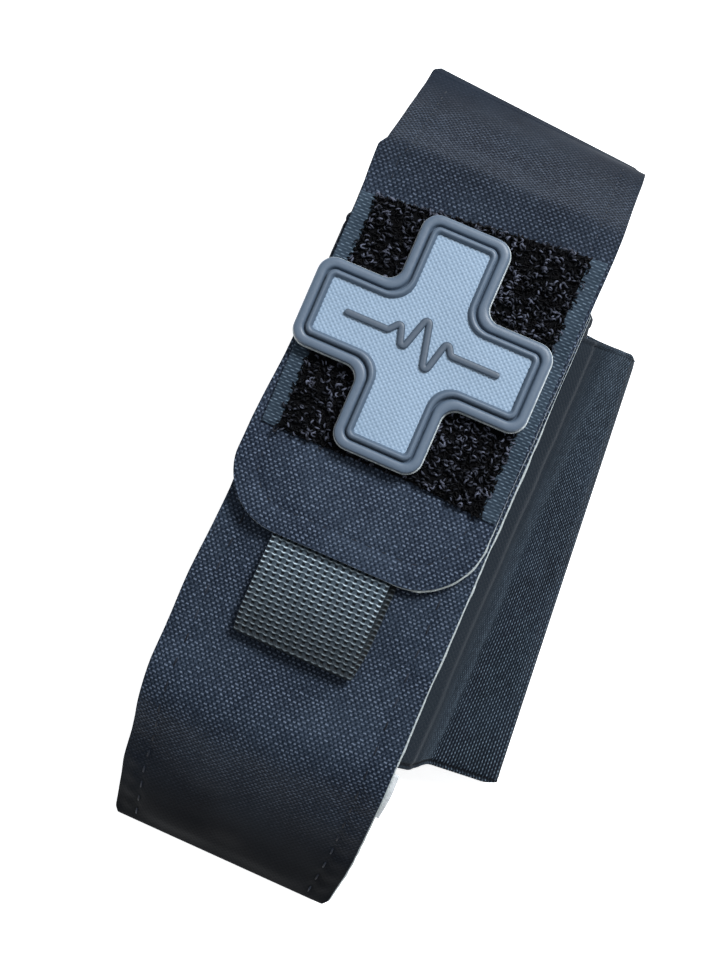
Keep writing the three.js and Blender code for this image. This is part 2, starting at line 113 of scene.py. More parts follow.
def outline_normals(P):
    """Outward normals of a closed 2-D loop."""
    d1 = P - np.roll(P, 1, 0)
    d2 = np.roll(P, -1, 0) - P
    d1 /= np.linalg.norm(d1, axis=1, keepdims=True) + 1e-12
    d2 /= np.linalg.norm(d2, axis=1, keepdims=True) + 1e-12
    t = d1 + d2
    t /= np.linalg.norm(t, axis=1, keepdims=True) + 1e-12
    k = 1 / np.maximum(0.6, (t * d1).sum(1))
    n = np.stack([t[:, 1], -t[:, 0]], 1) * k[:, None]
    area = 0.5 * np.sum(P[:, 0] * np.roll(P[:, 1], -1) - np.roll(P[:, 0], -1) * P[:, 1])
    return n if area > 0 else -n


def slab(name, U, S, F, top, bottom, edge, back_mat=1, gain=None, uv_off=(0, 0)):
    """A closed sheet of cloth over the grid (U, S). F(u, s, w) gives the point at height w off the middle surface.
    top and bottom are heights (arrays or numbers); edge is a list of (offset outwards, w, material) between them."""
    n, m = U.shape
    u, s = U.ravel(), S.ravel()
    top = np.broadcast_to(np.asarray(top, float), U.shape).ravel()
    bottom = np.broadcast_to(np.asarray(bottom, float), U.shape).ravel()
    ring = ring_index(n, m)
    P2 = np.stack([u[ring], s[ring]], 1)
    N2 = outline_normals(P2.copy())
    Vt = F(u, s, top)
    Vb = F(u, s, bottom)
    parts, uvs = [Vt, Vb], [np.stack([u, s], 1), np.stack([u, s], 1)]
    loops = [ring]
    base = 2 * n * m
    k = np.ones(len(P2)) if gain is None else gain(P2[:, 0], P2[:, 1])
    for off, w, _ in edge:
        q = P2 + N2 * (off * k)[:, None]
        parts.append(F(q[:, 0], q[:, 1], np.full(len(q), float(w))))
        uvs.append(q)
        loops.append(base + np.arange(len(ring)))
        base += len(ring)
    loops.append(ring + n * m)
    q = [grid_quads(n, m), grid_quads(n, m, n * m, flip=True)]
    mi = [np.zeros(len(q[0]), int), np.full(len(q[1]), back_mat)]
    for k in range(len(loops) - 1):
        a, b = loops[k], loops[k + 1]
        mt = edge[k][2] if k < len(edge) else back_mat
        f = np.stack([np.roll(a, -1), a, b, np.roll(b, -1)], 1)
        q.append(f)
        mi.append(np.full(len(f), mt))
    V = np.concatenate(parts)
    Q = np.concatenate(q)
    # make it face outwards
    a, b, c = V[Q[: (n - 1) * (m - 1), 0]], V[Q[: (n - 1) * (m - 1), 1]], V[Q[: (n - 1) * (m - 1), 3]]
    nrm = np.cross(b - a, c - a)
    away = (Vt - Vb)[Q[: (n - 1) * (m - 1), 0]]
    if (nrm * away).sum() < 0:
        Q = Q[:, ::-1]
    return make(name, V, Q, uv=np.concatenate(uvs) + np.array(uv_off), mats=np.concatenate(mi))


def fillet(pts, seg=8):
    out = []
    n = len(pts)
    for i, c in enumerate(pts):
        r = c[2] if len(c) > 2 else 0
        if not r or i in (0, n - 1):
            out.append((c[0], c[1]))
            continue
        p, q, c2 = np.array(pts[i - 1][:2]), np.array(pts[i + 1][:2]), np.array(c[:2])
        a, b = (p - c2) / np.linalg.norm(p - c2), (q - c2) / np.linalg.norm(q - c2)
        half = math.acos(max(-1, min(1, float(a @ b)))) / 2
        o = c2 + (a + b) / np.linalg.norm(a + b) * r / math.sin(half)
        s, e = c2 + a * r / math.tan(half), c2 + b * r / math.tan(half)
        t0 = math.atan2(s[1] - o[1], s[0] - o[0])
        dt = math.atan2(e[1] - o[1], e[0] - o[0]) - t0
        dt = (dt + PI) % (2 * PI) - PI
        for k in range(seg + 1):
            out.append((o[0] + r * math.cos(t0 + dt * k / seg), o[1] + r * math.sin(t0 + dt * k / seg)))
    return np.array(out)


class Path:
    """A polyline by arc length, with the normal turned left of travel's right side (outwards for these strips)."""

    def __init__(self, pts, step=0.15, blur=5):
        P = np.asarray(pts, float)
        d = np.r_[0, np.cumsum(np.linalg.norm(np.diff(P, axis=0), axis=1))]
        keep = np.r_[True, np.diff(d) > 1e-9]
        P, d = P[keep], d[keep]
        n = int(d[-1] / step) + 2
        self.s = np.linspace(0, d[-1], n)
        a, b = np.interp(self.s, d, P[:, 0]), np.interp(self.s, d, P[:, 1])
        ta, tb = np.gradient(a), np.gradient(b)
        if blur > 1:
            k = np.ones(blur) / blur
            pad = blur // 2
            ta = np.convolve(np.pad(ta, pad, "edge"), k, "valid")
            tb = np.convolve(np.pad(tb, pad, "edge"), k, "valid")
        le = np.hypot(ta, tb)
        self.a, self.b = a, b
        self.na, self.nb = tb / le, -ta / le
        self.length = d[-1]

    def at(self, s, w):
        a, b = np.interp(s, self.s, self.a), np.interp(s, self.s, self.b)
        na, nb = np.interp(s, self.s, self.na), np.interp(s, self.s, self.nb)
        # beyond the ends it goes on straight
        over = np.where(s > self.length, s - self.length, np.where(s < 0, s, 0))
        ta, tb = -nb, na
        return a + ta * over + na * w, b + tb * over + nb * w


def smooth01(t):
    t = np.clip(t, 0, 1)
    return t * t * (3 - 2 * t)


def lump(x, c, w):
    return np.exp(-(((x - c) / w) ** 2))


class Noise2:
    """Smooth seeded 2-D noise on a lattice, about -1 to 1."""

    def __init__(self, seed, size=64):
        self.g = np.random.default_rng(seed).uniform(-1, 1, (size, size))
        self.n = size

    def __call__(self, x, y, scale):
        x, y = np.asarray(x) / scale + 100, np.asarray(y) / scale + 100
        i, j = np.floor(x).astype(int), np.floor(y).astype(int)
        fx, fy = x - i, y - j
        fx, fy = fx * fx * (3 - 2 * fx), fy * fy * (3 - 2 * fy)
        g, n = self.g, self.n
        a, b = g[i % n, j % n], g[(i + 1) % n, j % n]
        c, d = g[i % n, (j + 1) % n], g[(i + 1) % n, (j + 1) % n]
        return (a * (1 - fx) + b * fx) * (1 - fy) + (c * (1 - fx) + d * fx) * fy


N1, N2, N3 = Noise2(1), Noise2(2), Noise2(3)


def dist_to(P, poly, closed=True, chunk=4000):
    """Distance of the points P to a polyline, and the length along it of the nearest point."""
    A = poly if not closed else poly
    B = np.roll(poly, -1, 0) if closed else None
    if not closed:
        A, B = poly[:-1], poly[1:]
    d = B - A
    L = np.linalg.norm(d, axis=1)
    cum = np.r_[0, np.cumsum(L)[:-1]]
    L2 = np.maximum(L**2, 1e-12)
    best = np.empty(len(P))
    along = np.empty(len(P))
    for k in range(0, len(P), chunk):
        p = P[k : k + chunk, None, :]
        t = np.clip(((p - A) * d).sum(2) / L2, 0, 1)
        r = np.linalg.norm(p - (A + d * t[..., None]), axis=2)
        i = r.argmin(1)
        best[k : k + chunk] = r[np.arange(len(i)), i]
        along[k : k + chunk] = cum[i] + t[np.arange(len(i)), i] * L[i]
    return best, along


def tubes(name, paths, radii, sides=4):
    """Many tubes, all with the same number of points, as one mesh. paths (n, k, 3), radii (n, k)."""
    paths = np.asarray(paths, float)
    n, k, _ = paths.shape
    T = np.gradient(paths, axis=1)
    T /= np.linalg.norm(T, axis=2, keepdims=True) + 1e-12
    ref = np.broadcast_to(np.array([0.13, 0.21, 0.97]), T.shape)
    A = np.cross(T, ref)
    A /= np.linalg.norm(A, axis=2, keepdims=True) + 1e-12
    B = np.cross(T, A)
    ang = np.arange(sides) * 2 * PI / sides
    c, s = np.cos(ang), np.sin(ang)
    V = paths[:, :, None] + np.asarray(radii, float)[:, :, None, None] * (
        A[:, :, None] * c[None, None, :, None] + B[:, :, None] * s[None, None, :, None]
    )
    base = (np.arange(n) * k * sides)[:, None, None]
    i, j = np.arange(k - 1)[None, :, None], np.arange(sides)[None, None, :]
    a = base + i * sides + j
    b = base + i * sides + (j + 1) % sides
    Q = np.stack([a, b, b + sides, a + sides], -1).reshape(-1, 4)
    caps = []
    first = (np.arange(n) * k * sides)[:, None] + np.arange(sides)[None, ::-1]
    last = (np.arange(n) * k * sides + (k - 1) * sides)[:, None] + np.arange(sides)[None, :]
    T3 = []
    if sides == 4:
        caps = [first, last]
        Q = np.concatenate([Q, first, last])
    else:
        for f in (first, last):
            for q in range(1, sides - 1):
                T3.append(f[:, [0, q, q + 1]])
    t = (np.arange(k) / (k - 1))[None, :, None]
    uv = np.stack(
        np.broadcast_arrays(np.arange(n)[:, None, None] * 1.7 + 0 * t, t + 0 * np.arange(n)[:, None, None] + 0 * j), -1
    ).reshape(-1, 2)
    ob = make(name, V.reshape(-1, 3), Q, np.concatenate(T3) if T3 else (), uv=uv)
    return ob


def lathe(name, profile, x, y, seg=56):
    """A closed turned solid. profile: (radius, z) from the axis round to the axis, or a closed ring."""
    P = np.asarray(profile, float)
    on_axis = P[0, 0] < 1e-6
    ang = np.arange(seg) * 2 * PI / seg
    rings = P[1:-1] if on_axis else P
    V = np.stack(
        [
            x + rings[:, None, 0] * np.cos(ang),
            y + rings[:, None, 0] * np.sin(ang),
            rings[:, None, 1] + 0 * ang,
        ],
        -1,
    ).reshape(-1, 3)
    k = len(rings)
    Q = []
    for i in range(k - 1 if on_axis else k):
        a = i * seg + np.arange(seg)
        b = i * seg + (np.arange(seg) + 1) % seg
        c, d = (b + seg) % (k * seg), (a + seg) % (k * seg)
        Q.append(np.stack([a, b, c, d], 1))
    T = []
    if on_axis:
        V = np.concatenate([V, [[x, y, P[0, 1]], [x, y, P[-1, 1]]]])
        a, b = np.arange(seg), (np.arange(seg) + 1) % seg
        T.append(np.stack([np.full(seg, k * seg), b, a], 1))
        T.append(np.stack([np.full(seg, k * seg + 1), (k - 1) * seg + a, (k - 1) * seg + b], 1))
    Q = np.concatenate(Q)
    uv = V[:, :2]
    ob = make(name, V, Q, np.concatenate(T) if T else (), uv=uv, sharp=35)
    me = ob.data
    if signed_volume(me) < 0:
        me.flip_normals()
    return ob


def signed_volume(me):
    v = np.zeros(len(me.vertices) * 3, np.float32)
    me.vertices.foreach_get("co", v)
    v = v.reshape(-1, 3).astype(float)
    me.calc_loop_triangles()
    t = np.zeros(len(me.loop_triangles) * 3, np.int32)
    me.loop_triangles.foreach_get("vertices", t)
    t = t.reshape(-1, 3)
    return float(np.einsum("ij,ij->i", v[t[:, 0]], np.cross(v[t[:, 1]], v[t[:, 2]])).sum())


def outward(ob):
    if signed_volume(ob.data) < 0:
        ob.data.flip_normals()
    return ob


# ------------------------------------------------------------------ materials
def srgb(r, g, b):
    f = lambda c: (c / 12.92) if c <= 0.04045 else ((c + 0.055) / 1.055) ** 2.4
    return (f(r / 255), f(g / 255), f(b / 255), 1.0)


class Mat:
    def __init__(self, name, rough=0.7, metal=0.0, spec=0.5):
        self.m = bpy.data.materials.new(name)
        self.m.use_nodes = True
        self.t = self.m.node_tree
        self.t.nodes.clear()
        self.out = self.t.nodes.new("ShaderNodeOutputMaterial")
        self.b = self.t.nodes.new("ShaderNodeBsdfPrincipled")
        self.t.links.new(self.b.outputs[0], self.out.inputs[0])
        self.b.inputs["Roughness"].default_value = rough
        self.b.inputs["Metallic"].default_value = metal
        self.b.inputs["Specular IOR Level"].default_value = spec
        self._uv = None

    def n(self, kind, **kw):
        x = self.t.nodes.new(kind)
        for k, v in kw.items():
            setattr(x, k, v)
        return x

    def put(self, socket, v):
        if isinstance(v, bpy.types.NodeSocket):
            self.t.links.new(v, socket)
        else:
            socket.default_value = v

    def uv(self):
        if self._uv is None:
            x = self.n("ShaderNodeUVMap")
            x.uv_map = "mm"
            s = self.n("ShaderNodeSeparateXYZ")
            self.t.links.new(x.outputs[0], s.inputs[0])
            self._uv = (x.outputs[0], s.outputs[0], s.outputs[1])
        return self._uv

    def obj(self):
        x = self.n("ShaderNodeTexCoord")
        s = self.n("ShaderNodeVectorMath", operation="SCALE")
        self.t.links.new(x.outputs["Object"], s.inputs[0])
        s.inputs["Scale"].default_value = 1000.0
        return s.outputs[0]

    def math(self, op, a, b=0.0, c=0.0, clamp=False):
        x = self.n("ShaderNodeMath", operation=op)
        x.use_clamp = clamp
        self.put(x.inputs[0], a)
        self.put(x.inputs[1], b)
        if op in ("MULTIPLY_ADD", "SMOOTH_MIN", "SMOOTH_MAX", "COMPARE", "WRAP"):
            self.put(x.inputs[2], c)
        return x.outputs[0]

    def ramp(self, v, lo, hi, a=0.0, b=1.0):
        x = self.n("ShaderNodeMapRange", interpolation_type="SMOOTHSTEP")
        self.put(x.inputs[0], v)
        for i, k in zip((1, 2, 3, 4), (lo, hi, a, b)):
            self.put(x.inputs[i], k)
        return x.outputs[0]

    def noise(self, vec, scale, detail=2.0, rough=0.5):
        x = self.n("ShaderNodeTexNoise")
        self.put(x.inputs["Vector"], vec)
        x.inputs["Scale"].default_value = scale
        x.inputs["Detail"].default_value = detail
        x.inputs["Roughness"].default_value = rough
        return x.outputs[0]

    def cell(self, a, b):
        c = self.n("ShaderNodeCombineXYZ")
        self.put(c.inputs[0], self.math("FLOOR", a))
        self.put(c.inputs[1], self.math("FLOOR", b))
        w = self.n("ShaderNodeTexWhiteNoise", noise_dimensions="3D")
        self.t.links.new(c.outputs[0], w.inputs[0])
        return w.outputs[0]

    def mix(self, f, a, b, kind="MIX"):
        x = self.n("ShaderNodeMix", data_type="RGBA", blend_type=kind)
        self.put(x.inputs[0], f)
        self.put(x.inputs[6], a)
        self.put(x.inputs[7], b)
        return x.outputs[2]

    def bump(self, h, dist, strength=1.0):
        """dist in mm: the height, in the mesh's metres, that h = 1 stands for."""
        x = self.n("ShaderNodeBump")
        x.inputs["Strength"].default_value = strength
        x.inputs["Distance"].default_value = dist / 1000
        self.put(x.inputs["Height"], h)
        self.t.links.new(x.outputs[0], self.b.inputs["Normal"])

    def col(self, c):
        self.put(self.b.inputs["Base Color"], c)

    def rough(self, v):
        self.put(self.b.inputs["Roughness"], v)

    def sheen(self, w, r=0.5, tint=(1, 1, 1, 1)):
        self.b.inputs["Sheen Weight"].default_value = w
        self.b.inputs["Sheen Roughness"].default_value = r
        self.b.inputs["Sheen Tint"].default_value = tint


def nylon(name, dark, mid, light, ends, painted_end_shade=(1.0, 1.0), pu=1.1, pv=0.73):
    """Plain-woven coated nylon: short floats across the strip. ends: (lo0, lo1, hi0, hi1) of v, where the weave fades
    to smooth cloth. The last argument is painted shade: the colour factor at the low end and at the high end.
    """
    m = Mat(name, 0.7, spec=0.04)
    vec, u, v = m.uv()
    # a slow wander keeps the rows from being ruled lines
    wob = m.math("MULTIPLY", m.math("SUBTRACT", m.noise(vec, 0.22, 1.0), 0.5), 0.9)
    jit = m.math("MULTIPLY", m.math("SUBTRACT", m.noise(vec, 1.1, 2.0, 0.6), 0.5), 0.75)
    u2 = m.math("ADD", m.math("ADD", u, wob), jit)
    v2 = m.math("ADD", v, m.math("ADD", m.math("MULTIPLY", wob, 0.5), m.math("MULTIPLY", jit, 0.3)))
    a = m.math("SINE", m.math("MULTIPLY", u2, 2 * PI / pu))
    b = m.math("SINE", m.math("MULTIPLY", v2, PI / pv))
    s = m.math("MULTIPLY", a, b)
    rnd = m.cell(m.math("MULTIPLY", u2, 2 / pu), m.math("MULTIPLY", v2, 1 / pv))
    fade = m.math(
        "MULTIPLY",
        m.ramp(v, ends[0], ends[1]),
        m.ramp(v, ends[2], ends[3], 1.0, 0.0),
    )
    patch = m.noise(vec, 0.06, 3.0, 0.55)
    grain = m.noise(vec, 3.2, 3.0, 0.6)
    # each float is long across the strip and thin along it
    flat = m.ramp(m.math("ABSOLUTE", b), 0.62, 1.0)
    side = m.math("DIVIDE", s, m.math("MAXIMUM", m.math("ABSOLUTE", b), 0.08))
    f = m.math("MULTIPLY", m.math("MULTIPLY", m.ramp(side, -0.55, 0.3), flat), m.math("MULTIPLY_ADD", rnd, 0.9, 0.2))
    f = m.math("MULTIPLY", f, m.ramp(grain, 0.28, 0.62, 0.35, 1.25))
    f = m.math("MULTIPLY", f, m.math("MULTIPLY_ADD", fade, 0.85, 0.15))
    base = m.mix(m.ramp(patch, 0.32, 0.68), dark, mid)
    base = m.mix(m.math("MULTIPLY", m.ramp(grain, 0.4, 0.72), 0.55), base, tuple(c * 1.6 for c in mid[:3]) + (1,))
    pits = m.math("MULTIPLY", m.math("MULTIPLY", m.ramp(s, -0.9, -0.2, 1.0, 0.0), 0.6), fade)
    base = m.mix(pits, base, tuple(c * 0.25 for c in dark[:3]) + (1,))
    # painted shade: the colour is darkened towards the two ends, where the cloth turns away from the light
    lo_end = m.ramp(v, ends[0] + 35, ends[1] + 38, painted_end_shade[0], 1.0)
    hi_end = m.ramp(v, ends[2] - 10, ends[3] + 6, 1.0, painted_end_shade[1])
    shade = m.math("MULTIPLY", lo_end, hi_end)
    m.col(m.mix(1.0, m.mix(f, base, light), shade, "MULTIPLY"))
    m.rough(m.math("MULTIPLY_ADD", grain, 0.2, 0.55))
    h = m.math("MULTIPLY_ADD", s, 0.5, m.math("MULTIPLY", grain, 0.25))
    h = m.math("MULTIPLY", h, m.math("MULTIPLY_ADD", fade, 0.85, 0.15))
    m.bump(h, 0.16, 0.9)
    m.sheen(0.005, 0.45, srgb(150, 170, 205))
    return m.m


def lining(name, c0, c1):
    m = Mat(name, 0.7, spec=0.3)
    vec, u, v = m.uv()
    g = m.noise(vec, 1.4, 3.0)
    m.col(m.mix(m.ramp(g, 0.3, 0.7), c0, c1))
    a = m.math("SINE", m.math("MULTIPLY", u, 2 * PI / 0.6))
    b = m.math("SINE", m.math("MULTIPLY", v, 2 * PI / 0.6))
    m.bump(m.math("MULTIPLY_ADD", m.math("MULTIPLY", a, b), 0.5, g), 0.06)
    return m.m


def elastic(name, dark, mid, light, pitch=0.75, dash=1.0, smooth_u=None, hem_shadow_v=None):
    """Ribbed elastic: ribs along v, broken into dashes. The relief of the ribs is in the mesh."""
    m = Mat(name, 0.75, spec=0.08)
    vec, u, v = m.uv()
    wob = m.math("MULTIPLY", m.math("SUBTRACT", m.noise(vec, 0.3, 1.0), 0.5), 0.5)
    ridge = m.math("COSINE", m.math("MULTIPLY", u, 2 * PI / pitch))
    idx = m.math("FLOOR", m.math("MULTIPLY_ADD", u, 1 / pitch, 0.5))
    sh = m.math("MULTIPLY", idx, PI)  # each rib's dashes sit half a step on from its neighbour's
    d = m.math("SINE", m.math("ADD", m.math("MULTIPLY", m.math("ADD", v, wob), 2 * PI / dash), sh))
    g = m.noise(vec, 2.6, 3.0, 0.6)
    rnd = m.cell(m.math("MULTIPLY_ADD", u, 1 / pitch, 0.5), m.math("MULTIPLY", v, 1 / dash))
    f = m.math("MULTIPLY", m.ramp(ridge, 0.0, 0.95), m.math("MULTIPLY_ADD", m.ramp(d, -0.3, 0.9), 0.8, 0.2))
    f = m.math("MULTIPLY", f, m.math("MULTIPLY_ADD", rnd, 0.7, 0.45))
    patch = m.ramp(m.noise(vec, 0.07, 2.0), 0.3, 0.7)
    base = m.mix(patch, dark, mid)
    if smooth_u is not None:  # the flat, unribbed margin
        k = m.ramp(u, smooth_u[0], smooth_u[1])
        f = m.math("MULTIPLY", f, k)
        flat = m.mix(m.ramp(g, 0.3, 0.75), mid, smooth_u[2])
        base = m.mix(k, flat, base)
    out = m.mix(f, base, light)
    if hem_shadow_v is not None:  # a painted shadow line along the stitched groove of the rolled hem
        line = m.ramp(m.math("ABSOLUTE", m.math("SUBTRACT", v, hem_shadow_v)), 0.18, 0.5, 0.85, 0.0)
        out = m.mix(line, out, tuple(c * 0.4 for c in dark[:3]) + (1,))
    m.col(out)
    h = m.math("MULTIPLY_ADD", m.math("MULTIPLY", d, m.ramp(ridge, -0.2, 0.9)), 0.5, m.math("MULTIPLY", g, 0.35))
    m.bump(h, 0.12, 0.8)
    m.sheen(0.02, 0.5, srgb(160, 180, 205))
    return m.m


def webbing(name, dark, mid, light, row_pitch=1.09, col_pitch=1.55, hole=True, spec=0.16, painted_light_ramp=None):
    """Flat woven webbing, with bright weft lines across it. Its relief is in the mesh where it shows most."""
    m = Mat(name, 0.55, spec=spec)
    vec, u, v = m.uv()
    c = m.math("COSINE", m.math("MULTIPLY", u, 2 * PI / col_pitch))
    r = m.math("COSINE", m.math("ADD", m.math("MULTIPLY", v, 2 * PI / row_pitch), m.math("MULTIPLY", c, 0.44)))
    fine = m.math("SINE", m.math("MULTIPLY", u, 2 * PI / 0.31))
    g = m.noise(vec, 2.4, 3.0, 0.6)
    line = m.math("MULTIPLY", m.ramp(r, 0.62, 1.0), m.math("MULTIPLY_ADD", m.ramp(c, -0.9, 0.8), 0.75, 0.25))
    line = m.math("MULTIPLY", line, m.math("MULTIPLY_ADD", m.cell(m.math("MULTIPLY", u, 2 / col_pitch), m.math("MULTIPLY", v, 1 / row_pitch)), 0.6, 0.5))
    base = m.mix(m.ramp(g, 0.3, 0.7), dark, mid)
    if hole:
        pit = m.math("MULTIPLY", m.ramp(r, 0.05, -0.6), m.ramp(c, -0.1, 0.6))
        base = m.mix(pit, base, tuple(x * 0.12 for x in dark[:3]) + (1,))
    out = m.mix(line, base, light)
    if painted_light_ramp is not None:  # (v0, v1, factor at v0, factor at v1): painted light and shade, the colour scaled darker towards one end and lighter towards the other
        out = m.mix(1.0, out, m.ramp(v, *painted_light_ramp), "MULTIPLY")
    m.col(out)
    h = m.math("MULTIPLY_ADD", fine, 0.25, m.math("MULTIPLY_ADD", g, 0.4, m.math("MULTIPLY", r, 0.35)))
    m.bump(h, 0.1, 0.8)
    m.sheen(0.02, 0.4, srgb(170, 190, 205))
    return m.m


def moulded(name, c0, c1, rough=0.45, spec=0.45, grain=0.03, scale=1.6, speck=0.0, use_uv=False):
    m = Mat(name, rough, spec=spec)
    vec = m.uv()[0] if use_uv else m.obj()
    a = m.noise(vec, 0.09, 3.0)
    g = m.noise(vec, scale, 4.0, 0.65)
    m.col(m.mix(m.math("ADD", m.math("MULTIPLY", a, 0.6), m.math("MULTIPLY", g, 0.4), clamp=True), c0, c1))
    m.rough(m.math("MULTIPLY_ADD", g, 0.25, rough - 0.1))
    m.bump(g, grain)
    return m.m


def metal(name, c0, c1, rough=0.35):
    m = Mat(name, rough, metal=0.9, spec=0.5)
    vec = m.obj()
    g = m.noise(vec, 0.9, 4.0, 0.6)
    s = m.noise(vec, 6.0, 2.0)
    m.col(m.mix(m.ramp(g, 0.35, 0.7), c0, c1))
    m.rough(m.math("MULTIPLY_ADD", s, 0.25, rough - 0.1))
    m.bump(s, 0.01)
    return m.m


def pile_thread(name, dark, light, rough=0.42, spec=0.6):
    m = Mat(name, rough, spec=spec)
    vec, u, v = m.uv()
    rnd = m.cell(m.math("MULTIPLY", u, 1 / 1.7), 0.5)
    g = m.noise(m.obj(), 1.2, 2.0)
    m.col(m.mix(m.math("MULTIPLY", m.math("POWER", rnd, 2.2), m.math("MULTIPLY_ADD", g, 0.8, 0.5)), dark, light))
    m.bump(m.noise(m.obj(), 5.0, 2.0), 0.05)
    return m.m


def pile_base(name, c0, c1):
    m = Mat(name, 0.95, spec=0.1)
    vec = m.uv()[0]
    g = m.noise(vec, 1.1, 4.0, 0.7)
    m.col(m.mix(m.ramp(g, 0.35, 0.7), c0, c1))
    m.bump(g, 0.25)
    return m.m


NYL_D, NYL_M, NYL_L = srgb(27, 34, 46), srgb(41, 50, 63), srgb(100, 112, 130)
# the flap's colour carries painted shade, halved over its top fold and slope
M_FLAP = nylon("nylon_flap", NYL_D, NYL_M, NYL_L, (15, 36, 400, 500), (0.5, 1.0))
NYL_D, NYL_M, NYL_L = srgb(24, 31, 42), srgb(37, 46, 58), srgb(96, 107, 124)
# the shell's colour carries painted shade, down to a tenth towards its bottom fold
M_SHELL = nylon("nylon_shell", NYL_D, NYL_M, NYL_L, (-400, -300, 106, 136), (1.0, 0.1))
M_LINING = lining("coated_lining", srgb(150, 158, 160), srgb(186, 194, 194))
M_LINING_DARK = lining("lining_inside", srgb(30, 33, 38), srgb(44, 48, 54))
# its hem argument puts a painted shadow line along the rolled hem
M_SLEEVE = elastic(
    "elastic_sleeve", srgb(8, 13, 20), srgb(17, 24, 33), srgb(93, 108, 122), smooth_u=(4.0, 27.0, srgb(28, 36, 42)), hem_shadow_v=-49.4
)
M_WALL = elastic("elastic_wall", srgb(18, 20, 25), srgb(28, 32, 38), srgb(66, 72, 80))
# the tab's colour carries painted light and shade: dark towards its free end, brighter near the flap
M_TAB = webbing("webbing_tab", srgb(42, 52, 60), srgb(61, 73, 83), srgb(186, 203, 213), painted_light_ramp=(26, 50, 0.26, 1.1))
M_BACKWEB = webbing("webbing_back", srgb(28, 33, 39), srgb(40, 46, 53), srgb(96, 106, 116), hole=False)
M_TQ = webbing("webbing_tourniquet", srgb(14, 15, 17), srgb(23, 24, 26), srgb(62, 64, 68), 1.6, 1.3, hole=False)
M_BAND = webbing("webbing_band", srgb(16, 17, 19), srgb(26, 27, 30), srgb(70, 72, 76), 0.9, 1.1, hole=False)
M_RUBBER = moulded("rubber_rim", srgb(72, 86, 102), srgb(88, 103, 120), 0.42, 0.5, 0.03)
M_FIELD = moulded("rubber_field", srgb(116, 136, 156), srgb(139, 160, 181), 0.5, 0.45, 0.03)
M_PULSE = moulded("rubber_line", srgb(60, 72, 86), srgb(76, 89, 104), 0.42, 0.5, 0.03)
M_BACKING = lining("patch_backing", srgb(168, 178, 182), srgb(205, 212, 214))
M_PILE = pile_base("pile_ground", srgb(2, 2, 3), srgb(7, 8, 11))
M_LOOPS = pile_thread("pile_loops", srgb(2, 2, 3), srgb(13, 13, 17), 0.6, 0.1)
# the pale tone on part of the high loops is painted highlight: the loops are black and only catch the light
M_CURLS_GLINT = pile_thread("pile_curls_painted_glint", srgb(4, 5, 7), srgb(98, 102, 118), 0.5, 0.12)
M_HOOKS = pile_thread("hook_stems", srgb(14, 15, 18), srgb(50, 52, 58))
M_SELV = elastic("loop_selvage", srgb(34, 45, 56), srgb(48, 60, 72), srgb(98, 114, 128), pitch=0.6, dash=1.6)
M_THREAD = pile_thread("stitch_thread", srgb(14, 18, 26), srgb(50, 57, 70), 0.6, 0.2)
M_SNAP = metal("snap_metal", srgb(28, 29, 31), srgb(52, 53, 56), 0.38)
M_ROD = metal("rod_metal", srgb(24, 25, 27), srgb(44, 46, 49), 0.42)
M_PLASTIC = moulded("hard_plastic", srgb(16, 17, 19), srgb(27, 28, 31), 0.45, 0.5, 0.04, 2.2)
M_LABEL = lining("label_cloth", srgb(188, 192, 195), srgb(214, 217, 218))
M_TIME = lining("time_cloth", srgb(200, 203, 204), srgb(226, 228, 228))


def dress(ob, *mats):
    for m in mats:
        ob.data.materials.append(m)
    return ob


# ------------------------------------------------------------------ pouch shell: front, bottom fold and back in one strip
HALF = 26.5
shell_path = Path(
    fillet([(48, 37.4), (-56, 37.4, 16), (-90.93, 5.8, 1.2), (77.6, 5.8)], 14),
)
S_FOLD = float(shell_path.s[np.argmin(shell_path.a)])  # the bottom fold
SEAM_IN = 5.0


def shell_edges(s):
    """Left and right edge of the strip at arc length s."""
    y = np.interp(s, shell_path.s, shell_path.a)
    front = s < S_FOLD
    left_f = np.interp(-y, [-48, 12, 31, 50, 63, 75, 84, 90], [-26.4, -26.4, -27.35, -27.3, -26.7, -26.5, -25.8, -25.3])
    right_f = np.interp(-y, [-48, 40, 60, 75, 84, 90], [26.75, 26.75, 27.1, 27.2, 26.4, 25.8])
    left_b = np.interp(y, [-90, -50, 50, 78], [-25.3, -26.4, -26.4, -25.9])
    right_b = np.interp(y, [-90, -50, 50, 78], [25.7, 26.4, 26.4, 26.0])
    k = smooth01((s - S_FOLD + 2) / 4)
    tuck = 0.9 * lump(s, S_FOLD, 1.6)  # the fold's corners are a little round
    return (
        left_f * (1 - k) + left_b * k + tuck + 0.12 * N1(s, 0 * s, 9),
        right_f * (1 - k) + right_b * k - tuck + 0.12 * N1(s, 0 * s + 5, 9),
    )


